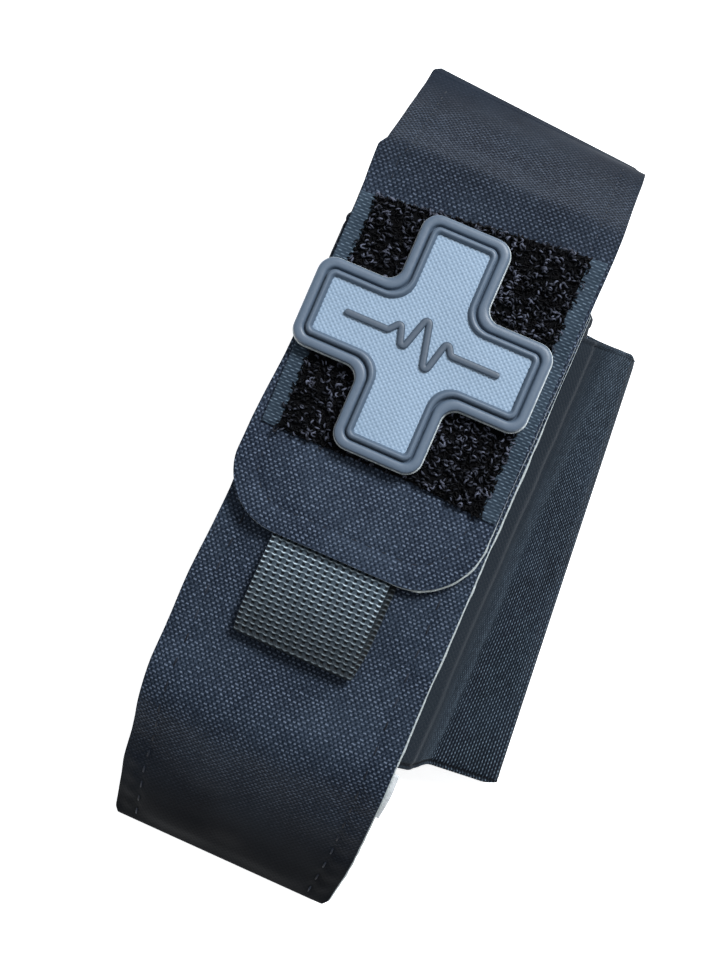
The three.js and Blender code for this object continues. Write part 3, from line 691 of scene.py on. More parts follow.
def shell_F(u, s, w):
    le, ri = shell_edges(s)
    front = smooth01((S_FOLD - s) / 6)
    t_in = np.minimum(u - le, ri - u)  # distance in from the nearer edge
    # cloth between the seams stands a little proud, and droops at the cut edges
    crown = 0.45 * smooth01((t_in - 4) / 9) - 0.35 * smooth01((3.2 - t_in) / 3.2)
    y = np.interp(s, shell_path.s, shell_path.a)
    # puckers: the seam pulls the cloth down at each stitch hole
    seam = lump(t_in, SEAM_IN, 0.85)
    ph = 2 * PI * s / 5.3
    seam_on = smooth01((s - 34) / 5)
    pucker = -seam * (0.2 + 0.1 * np.cos(ph)) * seam_on
    near = lump(t_in, SEAM_IN - 2.0, 2.2) * 0.07 * np.cos(ph + 1.2 * (u > 0)) * seam_on
    slow = 0.38 * N1(u, s, 17) + 0.2 * N2(u, s, 7.5)
    slope = smooth01((s - 96) / 18) * smooth01((S_FOLD - s) / 12)
    slow = slow * (0.55 + 0.9 * slope)
    # a shallow hollow under the tab and a soft ridge below it
    slow += -0.8 * lump(y, -45, 6) * lump(u, 0, 16) + 0.3 * lump(y, -54, 7) * lump(u, 2, 20)
    # and one where the flap's rounded corner stands clear of the edge
    slow += -1.2 * lump(y, -22, 9) * lump(u, -24, 5) - 0.8 * lump(y, -29, 5) * lump(u, 15, 4)
    dz = (crown + pucker + near + slow) * front
    dz = dz * smooth01((s + 3) / 45 + 0.15)
    a, b = shell_path.at(s, w + dz)
    return np.stack([u, a, b], -1)


s_front = np.arange(0, S_FOLD - 1.5, 0.5)
s_fold = np.arange(S_FOLD - 1.5, S_FOLD + 2.0, 0.2)
s_back = np.linspace(S_FOLD + 2.0, shell_path.length, 130)
st = np.concatenate([s_front, s_fold, s_back])
m_ = 112
tj = np.linspace(0, 1, m_)
tj = tj - 0.045 * np.sin(2 * PI * tj)  # closer together near the two edges
le, ri = shell_edges(st)
U = le[:, None] + (ri - le)[:, None] * tj
S = np.repeat(st[:, None], m_, 1)
EDGE = [(0.06, 0.5, 0), (0.08, 0.1, 0), (0.34, 0.06, 1), (0.4, -0.2, 1), (0.3, -0.55, 1)]
shell = slab("pouch_shell", U, S, shell_F, 0.6, -0.6, EDGE, back_mat=2, gain=lambda u, s: np.where(u > 0, 0.3 + 0.85 * smooth01((s - 14) / 20), 0.25) * (0.9 + 0.3 * N3(u, s, 2.3)))
dress(shell, M_SHELL, M_LINING, M_LINING_DARK)
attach(shell, "pouch")
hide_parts("front_panel", "back_panel")


# ------------------------------------------------------------------ flap: a strip of the same cloth, turned over the top end
flap_path = Path(
    fillet([(77.6, 5.8), (89.8, 5.8, 0.9), (65.4, 37.4, 8.5), (56.5, 41.25, 22), (-16.7, 41.25)], 14),
)
F_FOLD = float(flap_path.s[np.argmax(flap_path.a)])
F_LEN = flap_path.length


def flap_y(s):
    return np.interp(s, flap_path.s, flap_path.a)


def flap_edges(s):
    y = flap_y(s)
    up = s > F_FOLD
    left = np.interp(
        y,
        [-16.7, -5, 0, 8, 17, 41, 55, 63.6, 65.6, 80, 90],
        [-27.6, -27.65, -27.45, -27.2, -26.5, -25.45, -25.7, -26.5, -25.5, -25.9, -26.1],
    )
    right = np.interp(y, [-16.7, 0, 20, 48, 60, 90], [25.8, 25.8, 26.1, 26.3, 26.4, 26.4])
    # the two rounded corners at the flap's end
    cl, cr = -14.6, 11.8
    dl = np.clip(-3.7 - y, 0, 12.9999)
    left = np.where(y < -3.7, left + 13 - np.sqrt(np.maximum(169 - dl**2, 0)), left)
    dr = np.clip(-2.7 - y, 0, 13.9999)
    right = np.where(y < -2.7, right - 14 + np.sqrt(np.maximum(196 - dr**2, 0)), right)
    tuck_r = 2.6 * lump(s, F_FOLD, 1.9)
    tuck_l = 1.5 * lump(s, F_FOLD, 1.3)
    rough = 0.1 * N2(s, 0 * s, 6)
    return left + tuck_l * 1.0 + rough, right - tuck_r - rough


def flap_stations():
    a = np.arange(0, F_FOLD - 1.6, 0.8)
    b = np.arange(F_FOLD - 1.6, F_FOLD + 2.2, 0.2)
    c = np.arange(F_FOLD + 2.2, F_LEN - 13.2, 0.48)
    phi = np.linspace(PI / 2, 0, 44)
    d = F_LEN - 13.0 * (1 - np.cos(phi))
    return np.concatenate([a, b, c, d])


fst = flap_stations()
fl, fr = flap_edges(fst)
m_ = 120
tj = np.linspace(0, 1, m_)
tj = tj - 0.04 * np.sin(2 * PI * tj)
FU = fl[:, None] + (fr - fl)[:, None] * tj
FS = np.repeat(fst[:, None], m_, 1)
flap_outline = np.stack([FU.ravel()[ring_index(*FU.shape)], FS.ravel()[ring_index(*FU.shape)]], 1)
# distance in from the outline, looked up on the regular grid and reused by F
_gu, _gs = np.meshgrid(np.arange(-30, 30.01, 0.5), np.arange(-2, F_LEN + 2.01, 0.5), indexing="ij")
_seam = np.concatenate([np.stack([fl, fst], 1)[fst > F_FOLD + 6], np.stack([fr, fst], 1)[fst > F_FOLD + 6][::-1]])
_gd, _ga = dist_to(np.stack([_gu.ravel(), _gs.ravel()], 1), _seam, closed=False)
_gd, _ga = _gd.reshape(_gu.shape), _ga.reshape(_gu.shape)


def flap_in(u, s):
    x = np.clip((u + 30) / 0.5, 0, _gd.shape[0] - 1.001)
    y = np.clip((s + 2) / 0.5, 0, _gd.shape[1] - 1.001)
    i, j = x.astype(int), y.astype(int)
    fx, fy = x - i, y - j
    g = _gd
    return (g[i, j] * (1 - fx) + g[i + 1, j] * fx) * (1 - fy) + (g[i, j + 1] * (1 - fx) + g[i + 1, j + 1] * fx) * fy


def flap_F(u, s, w):
    y = flap_y(s)
    d_in = flap_in(u, s)
    le, ri = flap_edges(s)
    top = smooth01((s - F_FOLD - 8) / 10)
    seam = lump(d_in, SEAM_IN, 0.75)
    crown = 0.3 * smooth01((d_in - 3) / 8) - 0.3 * smooth01((3.0 - d_in) / 3.0)
    slow = 0.28 * N2(u, s, 15) + 0.14 * N3(u, s, 6.5)
    slope = smooth01((y - 56) / 6) * (s > F_FOLD)
    # the slope hollows a little between its two edges, and its upper edge rounds over the strap's fold
    sag = slope * (-0.7 * lump(u, 0, 17) * lump(y, 71, 5))
    panel = smooth01((58 - y) / 3) * smooth01((y - 0.5) / 3) * smooth01((27 - np.abs(u)) / 2) * (s > F_FOLD)
    dz = (crown - 0.32 * seam + slow) * top * (1 - 0.85 * panel) + sag
    # the end is lifted where the pull tab comes out from under it
    end = smooth01((-6 - y) / 11) * (s > F_FOLD)
    dz = dz + end * (0.55 * lump(u, -1.2, 13.5) - 0.5 * (1 - lump(u, -1.2, 17)))
    a, b = flap_path.at(s, w + dz)
    # the top fold runs out of square: its left end stands further out
    skew = lump(s, F_FOLD, 4.5)
    a = a + (-0.082 * u - 0.15) * skew
    return np.stack([u, a, b], -1)


def flap_gain(u, s):
    """How far the lining shows past the outer cloth: most round the lower right corner."""
    y = flap_y(s)
    return (0.22 + 0.95 * smooth01((u - 9) / 8) * smooth01((4 - y) / 8)) * (0.9 + 0.3 * N3(u, s, 2.1))


flap = slab("flap_fabric", FU, FS, flap_F, 0.6, -0.6, EDGE, back_mat=2, gain=flap_gain)
dress(flap, M_FLAP, M_LINING, M_LINING_DARK)
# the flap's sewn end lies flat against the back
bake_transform(flap)
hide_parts("flap_panel")


# stitches: short sunk lengths of thread along the seams
def stitches(name, F, line, w, pitch, length, r=0.2, skip=None):
    L = np.r_[0, np.cumsum(np.linalg.norm(np.diff(line, axis=0), axis=1))]
    at = np.arange(pitch / 2, L[-1], pitch)
    out = []
    for k, c in enumerate(at):
        q = np.linspace(c - length / 2, c + length / 2, 6)
        u, s = np.interp(q, L, line[:, 0]), np.interp(q, L, line[:, 1])
        t = np.linspace(-1, 1, 6)
        ww = w + r * 0.9 - 0.5 * np.abs(t) ** 3
        out.append(F(u, s, ww))
    paths = np.array(out)
    rad = np.full(paths.shape[:2], r)
    return tubes(name, paths, rad, 6)


sl = np.linspace(36, S_FOLD - 3, 500)
e_l, e_r = shell_edges(sl)
for nm, line in (("left", np.stack([e_l + SEAM_IN, sl], 1)), ("right", np.stack([e_r - SEAM_IN, sl], 1))):
    o = dress(stitches("front_stitches_" + nm, shell_F, line, 0.5, 5.3, 2.8, 0.19), M_THREAD)
    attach(o, "pouch")


def inset_line(U0, S0, d):
    P = np.stack([U0, S0], 1)
    t = np.gradient(P, axis=0)
    t /= np.linalg.norm(t, axis=1, keepdims=True)
    return P + np.stack([t[:, 1], -t[:, 0]], 1) * d


_k = fst > F_FOLD + 6
_ring = np.concatenate([np.stack([fl, fst], 1)[_k], np.stack([fr, fst], 1)[_k][::-1]])
_in = inset_line(_ring[:, 0], _ring[:, 1], SEAM_IN)
_d, _ = dist_to(_in, _ring, closed=False)
_in = _in[_d > SEAM_IN - 0.35]
_first = _in[(flap_y(_in[:, 1]) < 2.5) | (flap_y(_in[:, 1]) > 57)]
_low = _in[flap_y(_in[:, 1]) < 1.8]
o = dress(stitches("flap_stitches_end", flap_F, _low, 0.45, 3.2, 2.3, 0.14), M_THREAD)
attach(o, "flap")
_hi_l = _in[(flap_y(_in[:, 1]) > 57) & (_in[:, 0] < 0)]
_hi_r = _in[(flap_y(_in[:, 1]) > 58.5) & (_in[:, 0] > 0)]
for nm, line in (("left", _hi_l), ("right", _hi_r)):
    o = dress(stitches("flap_stitches_" + nm, flap_F, line, 0.45, 3.2, 2.3, 0.14), M_THREAD)
    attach(o, "flap")


# ------------------------------------------------------------------ hook and loop
def loops_over(name, n, region, z0, size=(0.9, 1.6), height=(0.35, 0.95), r=0.15, along_x=0.75, seed=3, down=False):
    """n curled pile loops. region(rng, n) gives points (x, y); z0(x, y) is the ground's height."""
    g = np.random.default_rng(seed)
    xy = region(g, n)
    n = len(xy)
    t = np.linspace(0, 1, 8)[None, :]
    L = g.uniform(*size, n)[:, None]
    H = g.uniform(height[0] ** 0.5, height[1] ** 0.5, n)[:, None] ** 2
    phi = g.normal(0, along_x, n)[:, None]
    curl = g.uniform(-0.5, 0.5, n)[:, None]
    lean = g.normal(0, 0.35, n)[:, None]
    # part of a circle, open at the foot and bent sideways
    a = (t - 0.5) * 2 * (PI * 0.56)
    px = L * 0.6 * np.sin(a)
    pz = H * (np.cos(a) - math.cos(PI * 0.56)) / (1 - math.cos(PI * 0.56))
    py = curl * (1 - np.cos(a)) * L * 0.55 + lean * pz
    x = xy[:, :1] + px * np.cos(phi) - py * np.sin(phi)
    y = xy[:, 1:] + px * np.sin(phi) + py * np.cos(phi)
    z = z0(xy[:, :1], xy[:, 1:]) + (-pz if down else pz) - (-0.12 if down else 0.12)
    R = g.uniform(0.75, 1.2, n)[:, None] * r * (0.75 + 0.35 * np.sin(PI * t))
    return tubes(name, np.stack([x, y, z], -1), R, 4)


PX, PY, PS, PA = -1.75, 29.0, 49.7, 18.5  # the cross patch


def under_patch(x, y, m=0.6):
    dx, dy = np.abs(x - PX), np.abs(y - PY)
    a, b = PS / 2 - m, PA / 2 - m
    return ((dx < a) & (dy < b)) | ((dx < b) & (dy < a))


def lp_top(x):
    return np.interp(x, [-25.5, -22.9, -10.1, 5.2, 22.1, 25.5], [52.8, 53.0, 54.3, 56.2, 58.0, 58.3])


def lp_bot(x):
    return np.interp(x, [-25.5, -11, 6.2, 21.7, 25.5], [2.8, 3.0, 3.4, 2.3, 2.1])


def lp_right(y):
    return 25.35 + 0 * y


Z_LP = 42.1  # underside of the loop panel
tq = np.linspace(0, 1, 190)
lx = np.linspace(-25.3, 25.5, 260)
LU = np.repeat(lx[:, None], len(tq), 1)
LS = lp_bot(lx)[:, None] + (lp_top(lx) - lp_bot(lx))[:, None] * tq
SELV = 3.4


def lp_relief(x, y):
    e = np.minimum(x + 25.3, 25.5 - x)
    k = smooth01((SELV + 0.35 + 0.5 * N1(y, 0 * y, 1.7) - e) / 0.5)  # selvage margin, ribs along x
    ribs = 0.13 * np.cos(2 * PI * y / 0.6)
    lip = 0.22 * lump(e, 0.35, 0.45)
    ends = np.minimum(lp_top(x) - y, y - lp_bot(x))
    roundoff = -0.4 * smooth01((0.7 - ends) / 0.7)
    ground = 0.16 * N2(x, y, 1.1) + 0.1 * N3(x, y, 0.6)
    return k * (ribs + lip - 0.02) + (1 - k) * ground + roundoff


def lp_F(u, s, w):
    droop = -0.25 * smooth01((np.abs(u) - 22) / 4)
    return np.stack([u, s, Z_LP + w + droop], -1)


panel = slab("loop_panel", LU, LS, lp_F, 0.72 + lp_relief(LU, LS), 0.0, [(0.05, 0.3, 0), (0.03, 0.05, 0)], back_mat=0)
me = panel.data
cent = np.zeros(len(me.polygons) * 3, np.float32)
me.polygons.foreach_get("center", cent)
cx = cent.reshape(-1, 3)[:, 0] * 1000 - SX
me.polygons.foreach_set("material_index", (np.minimum(cx + 25.3, 25.5 - cx) < SELV + 0.1).astype(np.int32))
dress(panel, M_PILE, M_SELV)
# the selvage's ribs lie along x, so its weave reads the map turned a quarter
uvl = me.uv_layers["mm"].data
uvs = np.zeros(len(uvl) * 2, np.float32)
uvl.foreach_get("uv", uvs)
uvs = uvs.reshape(-1, 2)[:, ::-1].copy()
uvl.foreach_set("uv", uvs.ravel())
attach(panel, "flap")
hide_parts("flap_loop_panel")


def lp_region(g, n):
    x = g.uniform(-25.3 + SELV - 0.2, 25.5 - SELV + 0.3, n * 2)
    y = g.uniform(2.0, 59, n * 2)
    ok = (y < lp_top(x) + 0.15) & (y > lp_bot(x) - 0.15) & ~under_patch(x, y)
    return np.stack([x, y], 1)[ok][:n]


o = dress(
    loops_over("loop_pile_low", 3400, lp_region, lambda x, y: Z_LP + 0.66 + 0 * x, (0.6, 1.0), (0.25, 0.6), 0.14, 1.1, 5), M_LOOPS
)
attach(o, "flap")
# the upper loops, some of them pale with painted highlight
o = dress(
    loops_over("loop_pile_high", 1500, lp_region, lambda x, y: Z_LP + 0.72 + 0 * x, (0.55, 0.95), (0.7, 1.2), 0.18, 0.8, 8), M_CURLS_GLINT
)
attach(o, "flap")


def block(name, x0, x1, y0, y1, z0, z1, relief=None, step=0.5, r=0.3, flip_uv=False):
    """A flat woven or moulded strip with eased edges: a slab over (x, y) with optional relief on its upper side."""
    x = np.arange(x0, x1 + 1e-6, (x1 - x0) / max(2, round((x1 - x0) / step)))
    y = np.arange(y0, y1 + 1e-6, (y1 - y0) / max(2, round((y1 - y0) / step)))
    X, Y = np.meshgrid(x, y, indexing="ij")
    h = (z1 - z0) / 2
    top = h + (relief(X, Y) if relief is not None else 0) + 0 * X
    F = lambda u, s, w: np.stack([u, s, (z0 + z1) / 2 + w], -1)
    return slab(name, X, Y, F, top, -h, [(r * 0.6, h * 0.7, 0), (r, 0, 0), (r * 0.6, -h * 0.7, 0)], back_mat=0)


o = dress(
    block("closure_loop", -19.7, 19.7, -5.7, 25.7, 38.25, 38.75, lambda x, y: 0.12 * N2(x, y, 0.9), 0.5, 0.3), M_PILE
)
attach(o, "pouch")
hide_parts("closure_loop_strip")
o2 = dress(
    loops_over(
        "closure_loop_pile",
        2600,
        lambda g, n: np.stack([g.uniform(-19.4, 19.4, n), g.uniform(-5.4, 25.4, n)], 1),
        lambda x, y: 38.72 + 0 * x,
        (0.7, 1.2),
        (0.2, 0.5),
        0.12,
        0.9,
        11,
    ),
    M_LOOPS,
)
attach(o2, "pouch")
o = dress(block("closure_hook", -19.7, 19.7, -5.7, 25.7, 39.95, 40.4, None, 1.0, 0.3), M_PLASTIC)
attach(o, "flap")
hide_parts("flap_hook_strip")
hx, hy = np.meshgrid(np.arange(-19.2, 19.3, 0.95), np.arange(-5.2, 25.3, 0.9), indexing="ij")
hx, hy = hx.ravel(), hy.ravel()
sg = np.where(np.round(hx / 0.95).astype(int) % 2 == 0, 1.0, -1.0)
ht = np.linspace(0, 1, 7)[None, :]
hang = ht * PI * 1.15
hooks = np.stack(
    [
        hx[:, None] + 0 * ht,
        hy[:, None] + sg[:, None] * 0.26 * (1 - np.cos(hang)),
        39.98 - np.where(ht < 0.5, ht * 1.1, 0.55 - (ht - 0.5) * 0.35) * 0.95 + 0 * hx[:, None],
    ],
    -1,
)
o2 = dress(tubes("closure_hook_stems", hooks, np.full(hooks.shape[:2], 0.12), 4), M_HOOKS)
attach(o2, "flap")


# ------------------------------------------------------------------ pull tab: a folded length of webbing
tab_path = Path(
    [
        *[(y, 38.75) for y in (-9.2, -14.0)],
        *fillet([(-16.0, 38.75), (-20, 38.7), (-30, 38.7), (-36.75, 38.85)], 4).tolist(),
        *[(-36.75 + 0.68 * math.cos(t), 39.53 + 0.68 * math.sin(t)) for t in np.linspace(-PI / 2, -3 * PI / 2 + 0.3, 12)],
        (-35.2, 40.42),
        (-32.5, 40.85),
        (-29.5, 41.15),
        (-26.5, 41.3),
        (-23.5, 41.2),
        (-21.0, 40.85),
        (-18.8, 40.35),
        (-16.9, 39.98),
        (-14.5, 39.88),
        (-9.2, 39.88),
    ],
    0.1,
    15,
)
# travel is down the underside and back along the top, so the outside is on the other hand
TW = 25.4


def tab_relief(u, s):
    r = np.cos(2 * PI * s / 1.09)
    r = np.cos(2 * PI * (s / 1.09 + 0.07 * np.cos(2 * PI * u / 1.55)))
    row_h = 0.13 * (0.5 + 0.5 * r) ** 2.2
    scal = 0.04 * np.cos(2 * PI * u / 1.55) * np.cos(2 * PI * (s / 1.09 + 0.25))
    hole = 0.3 * np.clip(0.5 - 0.5 * r, 0, 1) ** 1.3 * np.clip(np.cos(2 * PI * u / 1.55), 0, 1) ** 0.8
    e = np.minimum(u + TW / 2, TW / 2 - u)
    edge = smooth01(e / 0.9)
    return (row_h + scal - hole - 0.08) * (0.35 + 0.65 * edge) - 0.16 * (1 - edge)


def tab_F(u, s, w):
    # the top layer lies a little to the left, so that the layer below shows along the right and the end
    k = smooth01((s - 20) / 14)
    x = -1.2 + u + 1.05 * (1 - k) - 0.35 * k
    a, b = tab_path.at(s, -w)
    bow = 0.28 * np.cos(u / TW * PI) * smooth01((-19 - a) / 8)
    rise = 1.7 * smooth01((-22 - a) / 22)  # its free end stands off the front
    return np.stack([x, a, b + bow * k + rise], -1)


tu = np.linspace(-TW / 2, TW / 2, 131)
ts_ = np.arange(0, tab_path.length, 0.182)
TU = np.repeat(tu[None, :], len(ts_), 0)
TS = np.repeat(ts_[:, None], len(tu), 1)
tab = slab(
    "pull_tab_webbing",
    TU,
    TS,
    tab_F,
    0.5 + tab_relief(TU, TS),
    -0.42,
    [(0.1, 0.3, 0), (0.16, 0.0, 0), (0.1, -0.28, 0)],
    back_mat=0,
)
dress(tab, M_TAB)
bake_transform(tab)
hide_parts("pull_tab", "pull_tab_anchor")


# ------------------------------------------------------------------ elastic: sleeve and side walls
def section_points(shoulder, outer, heel, n_top, n_low, corner=1.2):
    """The section as two runs, seam to outer fold and outer fold back to the foot, each evenly stepped."""
    P = fillet([(26.6, 36.5), (29.3, 33.2, 2), shoulder[0], shoulder[1], (outer, 4.2, corner), (heel, 2.6, 8), (31, 2.9, 4), (28.2, 5)], 10)
    d = np.r_[0, np.cumsum(np.linalg.norm(np.diff(P, axis=0), axis=1))]
    k = d[P[:, 0].argmax()]
    s = np.concatenate([np.linspace(0, k, n_top), np.linspace(k, d[-1], n_low)[1:]])
    return np.stack([np.interp(s, d, P[:, 0]), np.interp(s, d, P[:, 1])], 1), k, d[-1]


NT_, NL_ = 330, 150
A_, ka, la = section_points([(31.6, 25.8, 10), (36, 15.3, 10)], 40.5, 35, NT_, NL_)
B_, kb, lb = section_points([(31.4, 23, 10), (33.6, 15.2, 4)], 50.9, 39, NT_, NL_, 0.9)
LEN_TOP = 39.0  # nominal arc from the seam to the outer fold, for the ribs
arc = np.concatenate([np.linspace(0, LEN_TOP, NT_), LEN_TOP + np.linspace(0, 15, NL_)[1:]])


def sleeve_mid(f):
    """Section at share f of the way from the top end to the low end."""
    return A_ * (1 - f) + B_ * f


sy = np.concatenate([[49.5, 49.2, 48.9, 48.5, 48.0], np.arange(47.5, -48.6, -0.8), [-49.0, -49.5, -49.9, -50.2, -50.5]])
f_ = (49.5 - sy) / 100
mid = np.stack([sleeve_mid(f) for f in f_])  # (n, k, 2)
tan = np.gradient(mid, axis=1)
ker = np.ones(7) / 7
for c in (0, 1):
    for i in range(len(tan)):
        tan[i, :, c] = np.convolve(np.pad(tan[i, :, c], 3, "edge"), ker, "valid")
tan /= np.linalg.norm(tan, axis=2, keepdims=True)
nor = np.stack([-tan[..., 1], tan[..., 0]], -1)
if nor[0, 10, 0] < 0:
    nor = -nor
e_end = np.minimum(49.5 - sy, sy + 50.5)[:, None]
ribs = 0.13 * np.cos(2 * PI * arc / 0.75)[None, :]
rib_fade = smooth01((arc - 5.0) / 4.0)[None, :]
selv = smooth01((arc - (LEN_TOP - 3.4)) / 0.4)[None, :] * smooth01((LEN_TOP + 0.2 - arc) / 0.4)[None, :]
at_fold = lump(arc, LEN_TOP, 2.0)[None, :]
hem = (-0.4 * lump(e_end, 1.1, 0.35) + 0.15 * lump(e_end, 0.45, 0.3)) * (1 - 0.8 * at_fold)
belly = 0.5 * N1(sy[:, None], arc[None, :] * 1.0, 18) + 0.18 * N3(sy[:, None], arc[None, :], 6)
inner_hold = smooth01(arc / 9)[None, :] * smooth01((LEN_TOP - 1 - arc) / 6)[None, :]
top_w = 0.6 + ribs * rib_fade * (1 - 0.8 * selv) + hem - 0.35 * smooth01((0.35 - e_end) / 0.35) + belly * inner_hold * 0.9
low_w = -0.6 + belly * inner_hold * 0.9 + 0.25 * smooth01((0.35 - e_end) / 0.35)
outer_pts = mid + nor * top_w[..., None]
inner_pts = mid + nor * low_w[..., None]
Y3 = sy[:, None] - 0.168 * np.clip(mid[..., 1] - 4.2, 0, 40) * smooth01((sy[:, None] - 22) / 27)
# the two ends round off at the outer fold
Y3 = Y3 + at_fold * (0.7 * smooth01((-46.5 - sy[:, None]) / 4) - 0.9 * smooth01((sy[:, None] - 46) / 4))
top_v = np.stack([outer_pts[..., 0], Y3, outer_pts[..., 1]], -1)
low_v = np.stack([inner_pts[..., 0], Y3, inner_pts[..., 1]], -1)


def grid_slab(name, T, B, uv, mat_edge=0):
    n, m, _ = T.shape
    V = np.concatenate([T.reshape(-1, 3), B.reshape(-1, 3)])
    r = ring_index(n, m)
    q = [grid_quads(n, m), grid_quads(n, m, n * m, flip=True), np.stack([np.roll(r, -1), r, r + n * m, np.roll(r, -1) + n * m], 1)]
    Q = np.concatenate(q)
    k = (n - 1) * (m - 1)
    nrm = np.cross(V[Q[:k, 1]] - V[Q[:k, 0]], V[Q[:k, 3]] - V[Q[:k, 0]])
    if (nrm * (T.reshape(-1, 3) - B.reshape(-1, 3))[Q[:k, 0]]).sum() < 0:
        Q = Q[:, ::-1]
    return make(name, V, Q, uv=np.concatenate([uv.reshape(-1, 2)] * 2))


uv = np.stack([np.repeat(arc[None, :], len(sy), 0), Y3], -1)
sleeve = dress(grid_slab("shears_sleeve_elastic", top_v, low_v, uv), M_SLEEVE)
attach(sleeve, "pouch")
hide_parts("shears_sleeve")

wall_pts = fillet([(25.5, 6.5), (27.1, 13, 14), (27.5, 21, 20), (27.0, 29, 14), (25.6, 36.6)], 8)
for side in (1, -1):
    wp = Path(wall_pts, 0.1, 9)
    ws = np.linspace(0, wp.length, 210)
    wy = np.concatenate([[49.5, 49.2, 48.8], np.arange(48.3, -49.4, -1.2), [-49.8, -50.2, -50.5]])
    a0, b0 = wp.at(ws, 0)
    WY = np.repeat(wy[:, None], len(ws), 1)
    e_end = np.minimum(49.5 - wy, wy + 50.5)[:, None]
    relief = 0.09 * np.cos(2 * PI * ws / 0.75)[None, :] - 0.25 * lump(e_end, 1.2, 0.3) - 0.3 * smooth01((0.3 - e_end) / 0.3)
    bow = (0.45 * N2(wy[:, None], ws[None, :], 15) + 0.1 * N3(wy[:, None], ws[None, :], 5)) * (
        smooth01(ws / 6) * smooth01((wp.length - ws) / 6)
    )[None, :]
    if side > 0:
        bow = bow * 0.25
    else:
        # it bulges a little past the front's edge low down on the left
        bow = bow + 0.75 * (lump(wy, -33, 12)[:, None]) * lump(ws, wp.length - 7, 6)[None, :]
    T = np.stack(np.broadcast_arrays(*[np.zeros_like(WY)] * 3), -1).copy()
    B = T.copy()
    for w_, dst in ((0.55 + relief + bow, T), (-0.55 + bow, B)):
        na, nb = np.interp(ws, wp.s, wp.na), np.interp(ws, wp.s, wp.nb)
        dst[..., 0] = side * (a0[None, :] + na[None, :] * w_)
        dst[..., 1] = WY
        dst[..., 2] = b0[None, :] + nb[None, :] * w_
    uv = np.stack([np.repeat(ws[None, :], len(wy), 0), WY], -1)
    nm = "right" if side > 0 else "left"
    o = outward(dress(grid_slab("wall_elastic_" + nm, T, B, uv), M_WALL))
    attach(o, "pouch")
    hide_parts("side_wall_" + nm)


# ------------------------------------------------------------------ rubber cross patch
def cross(s, w, r, q, seg=10):
    a, b = s / 2, w / 2
    C = [(b, a, r), (b, b, q), (a, b, r), (a, -b, r), (b, -b, q), (b, -a, r), (-b, -a, r), (-b, -b, q), (-a, -b, r), (-a, b, r), (-b, b, q), (-b, a, r)]
    n = len(C)
    out = []
    for i in range(n):
        p, c, d = C[i - 1], C[i], C[(i + 1) % n]
        out.append(fillet([p[:2], c, d[:2]], seg)[1:-1])
        # a few points along the straight
        e, f = out[-1][-1], None
    P = []
    for i in range(n):
        P.append(out[i])
        a0, b0 = out[i][-1], out[(i + 1) % n][0]
        P.append(a0 + (b0 - a0) * np.linspace(0, 1, 6)[1:-1, None])
    return np.concatenate(P)


def cross_ring(d, z, r0=3.4, q0=3.0):
    P = cross(PS - 2 * d, PA - 2 * d, max(r0 - d * 0.75, 0.35), q0 + d * 0.55)
    return np.column_stack([P[:, 0] + PX, P[:, 1] + PY, np.full(len(P), z)])


def swept(name, rings, close=True):
    n = len(rings[0])
    V = np.concatenate(rings)
    k = len(rings)
    Q = []
    for i in range(k if close else k - 1):
        a = i * n + np.arange(n)
        b = i * n + (np.arange(n) + 1) % n
        c, d = ((i + 1) % k) * n + (np.arange(n) + 1) % n, ((i + 1) % k) * n + np.arange(n)
        Q.append(np.stack([a, b, c, d], 1))
    return outward(make(name, V, np.concatenate(Q), uv=V[:, :2], sharp=50))


# section of the rim: outer flange, groove, rounded inner rim, wall down to the field
prof = [
    (0.35, 44.72),
    (0.06, 44.85),
    (0.0, 45.2),
    (0.0, 45.85),
    (0.1, 46.28),
    (0.34, 46.5),
    (0.8, 46.6),
    (1.4, 46.6),
    (1.75, 46.48),
    (1.93, 46.2),
    (1.99, 45.7),
    (2.12, 45.55),
    (2.25, 45.7),
    (2.31, 46.4),
    (2.42, 46.85),
    (2.66, 47.12),
    (2.95, 47.2),
    (3.2, 47.12),
    (3.42, 46.8),
    (3.62, 46.4),
    (3.72, 45.95),
    (3.78, 45.2),
    (3.6, 44.72),
]
rim = dress(swept("patch_rim_rubber", [cross_ring(d, z) for d, z in prof]), M_RUBBER)
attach(rim, "patch")
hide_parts("patch_rim")


def inside_cross(x, y, d, r0=3.4, q0=4.0):
    P = cross_ring(d, 0)[:, :2]
    # even-odd test, a row at a time
    X, Y = x.ravel(), y.ravel()
    a, b = P, np.roll(P, -1, 0)
    hit = np.zeros(len(X), bool)
    for (x1, y1), (x2, y2) in zip(a, b):
        c = (y1 > Y) != (y2 > Y)
        if y1 != y2:
            hit ^= c & (X < (x2 - x1) * (Y - y1) / (y2 - y1) + x1)
    return hit.reshape(x.shape)


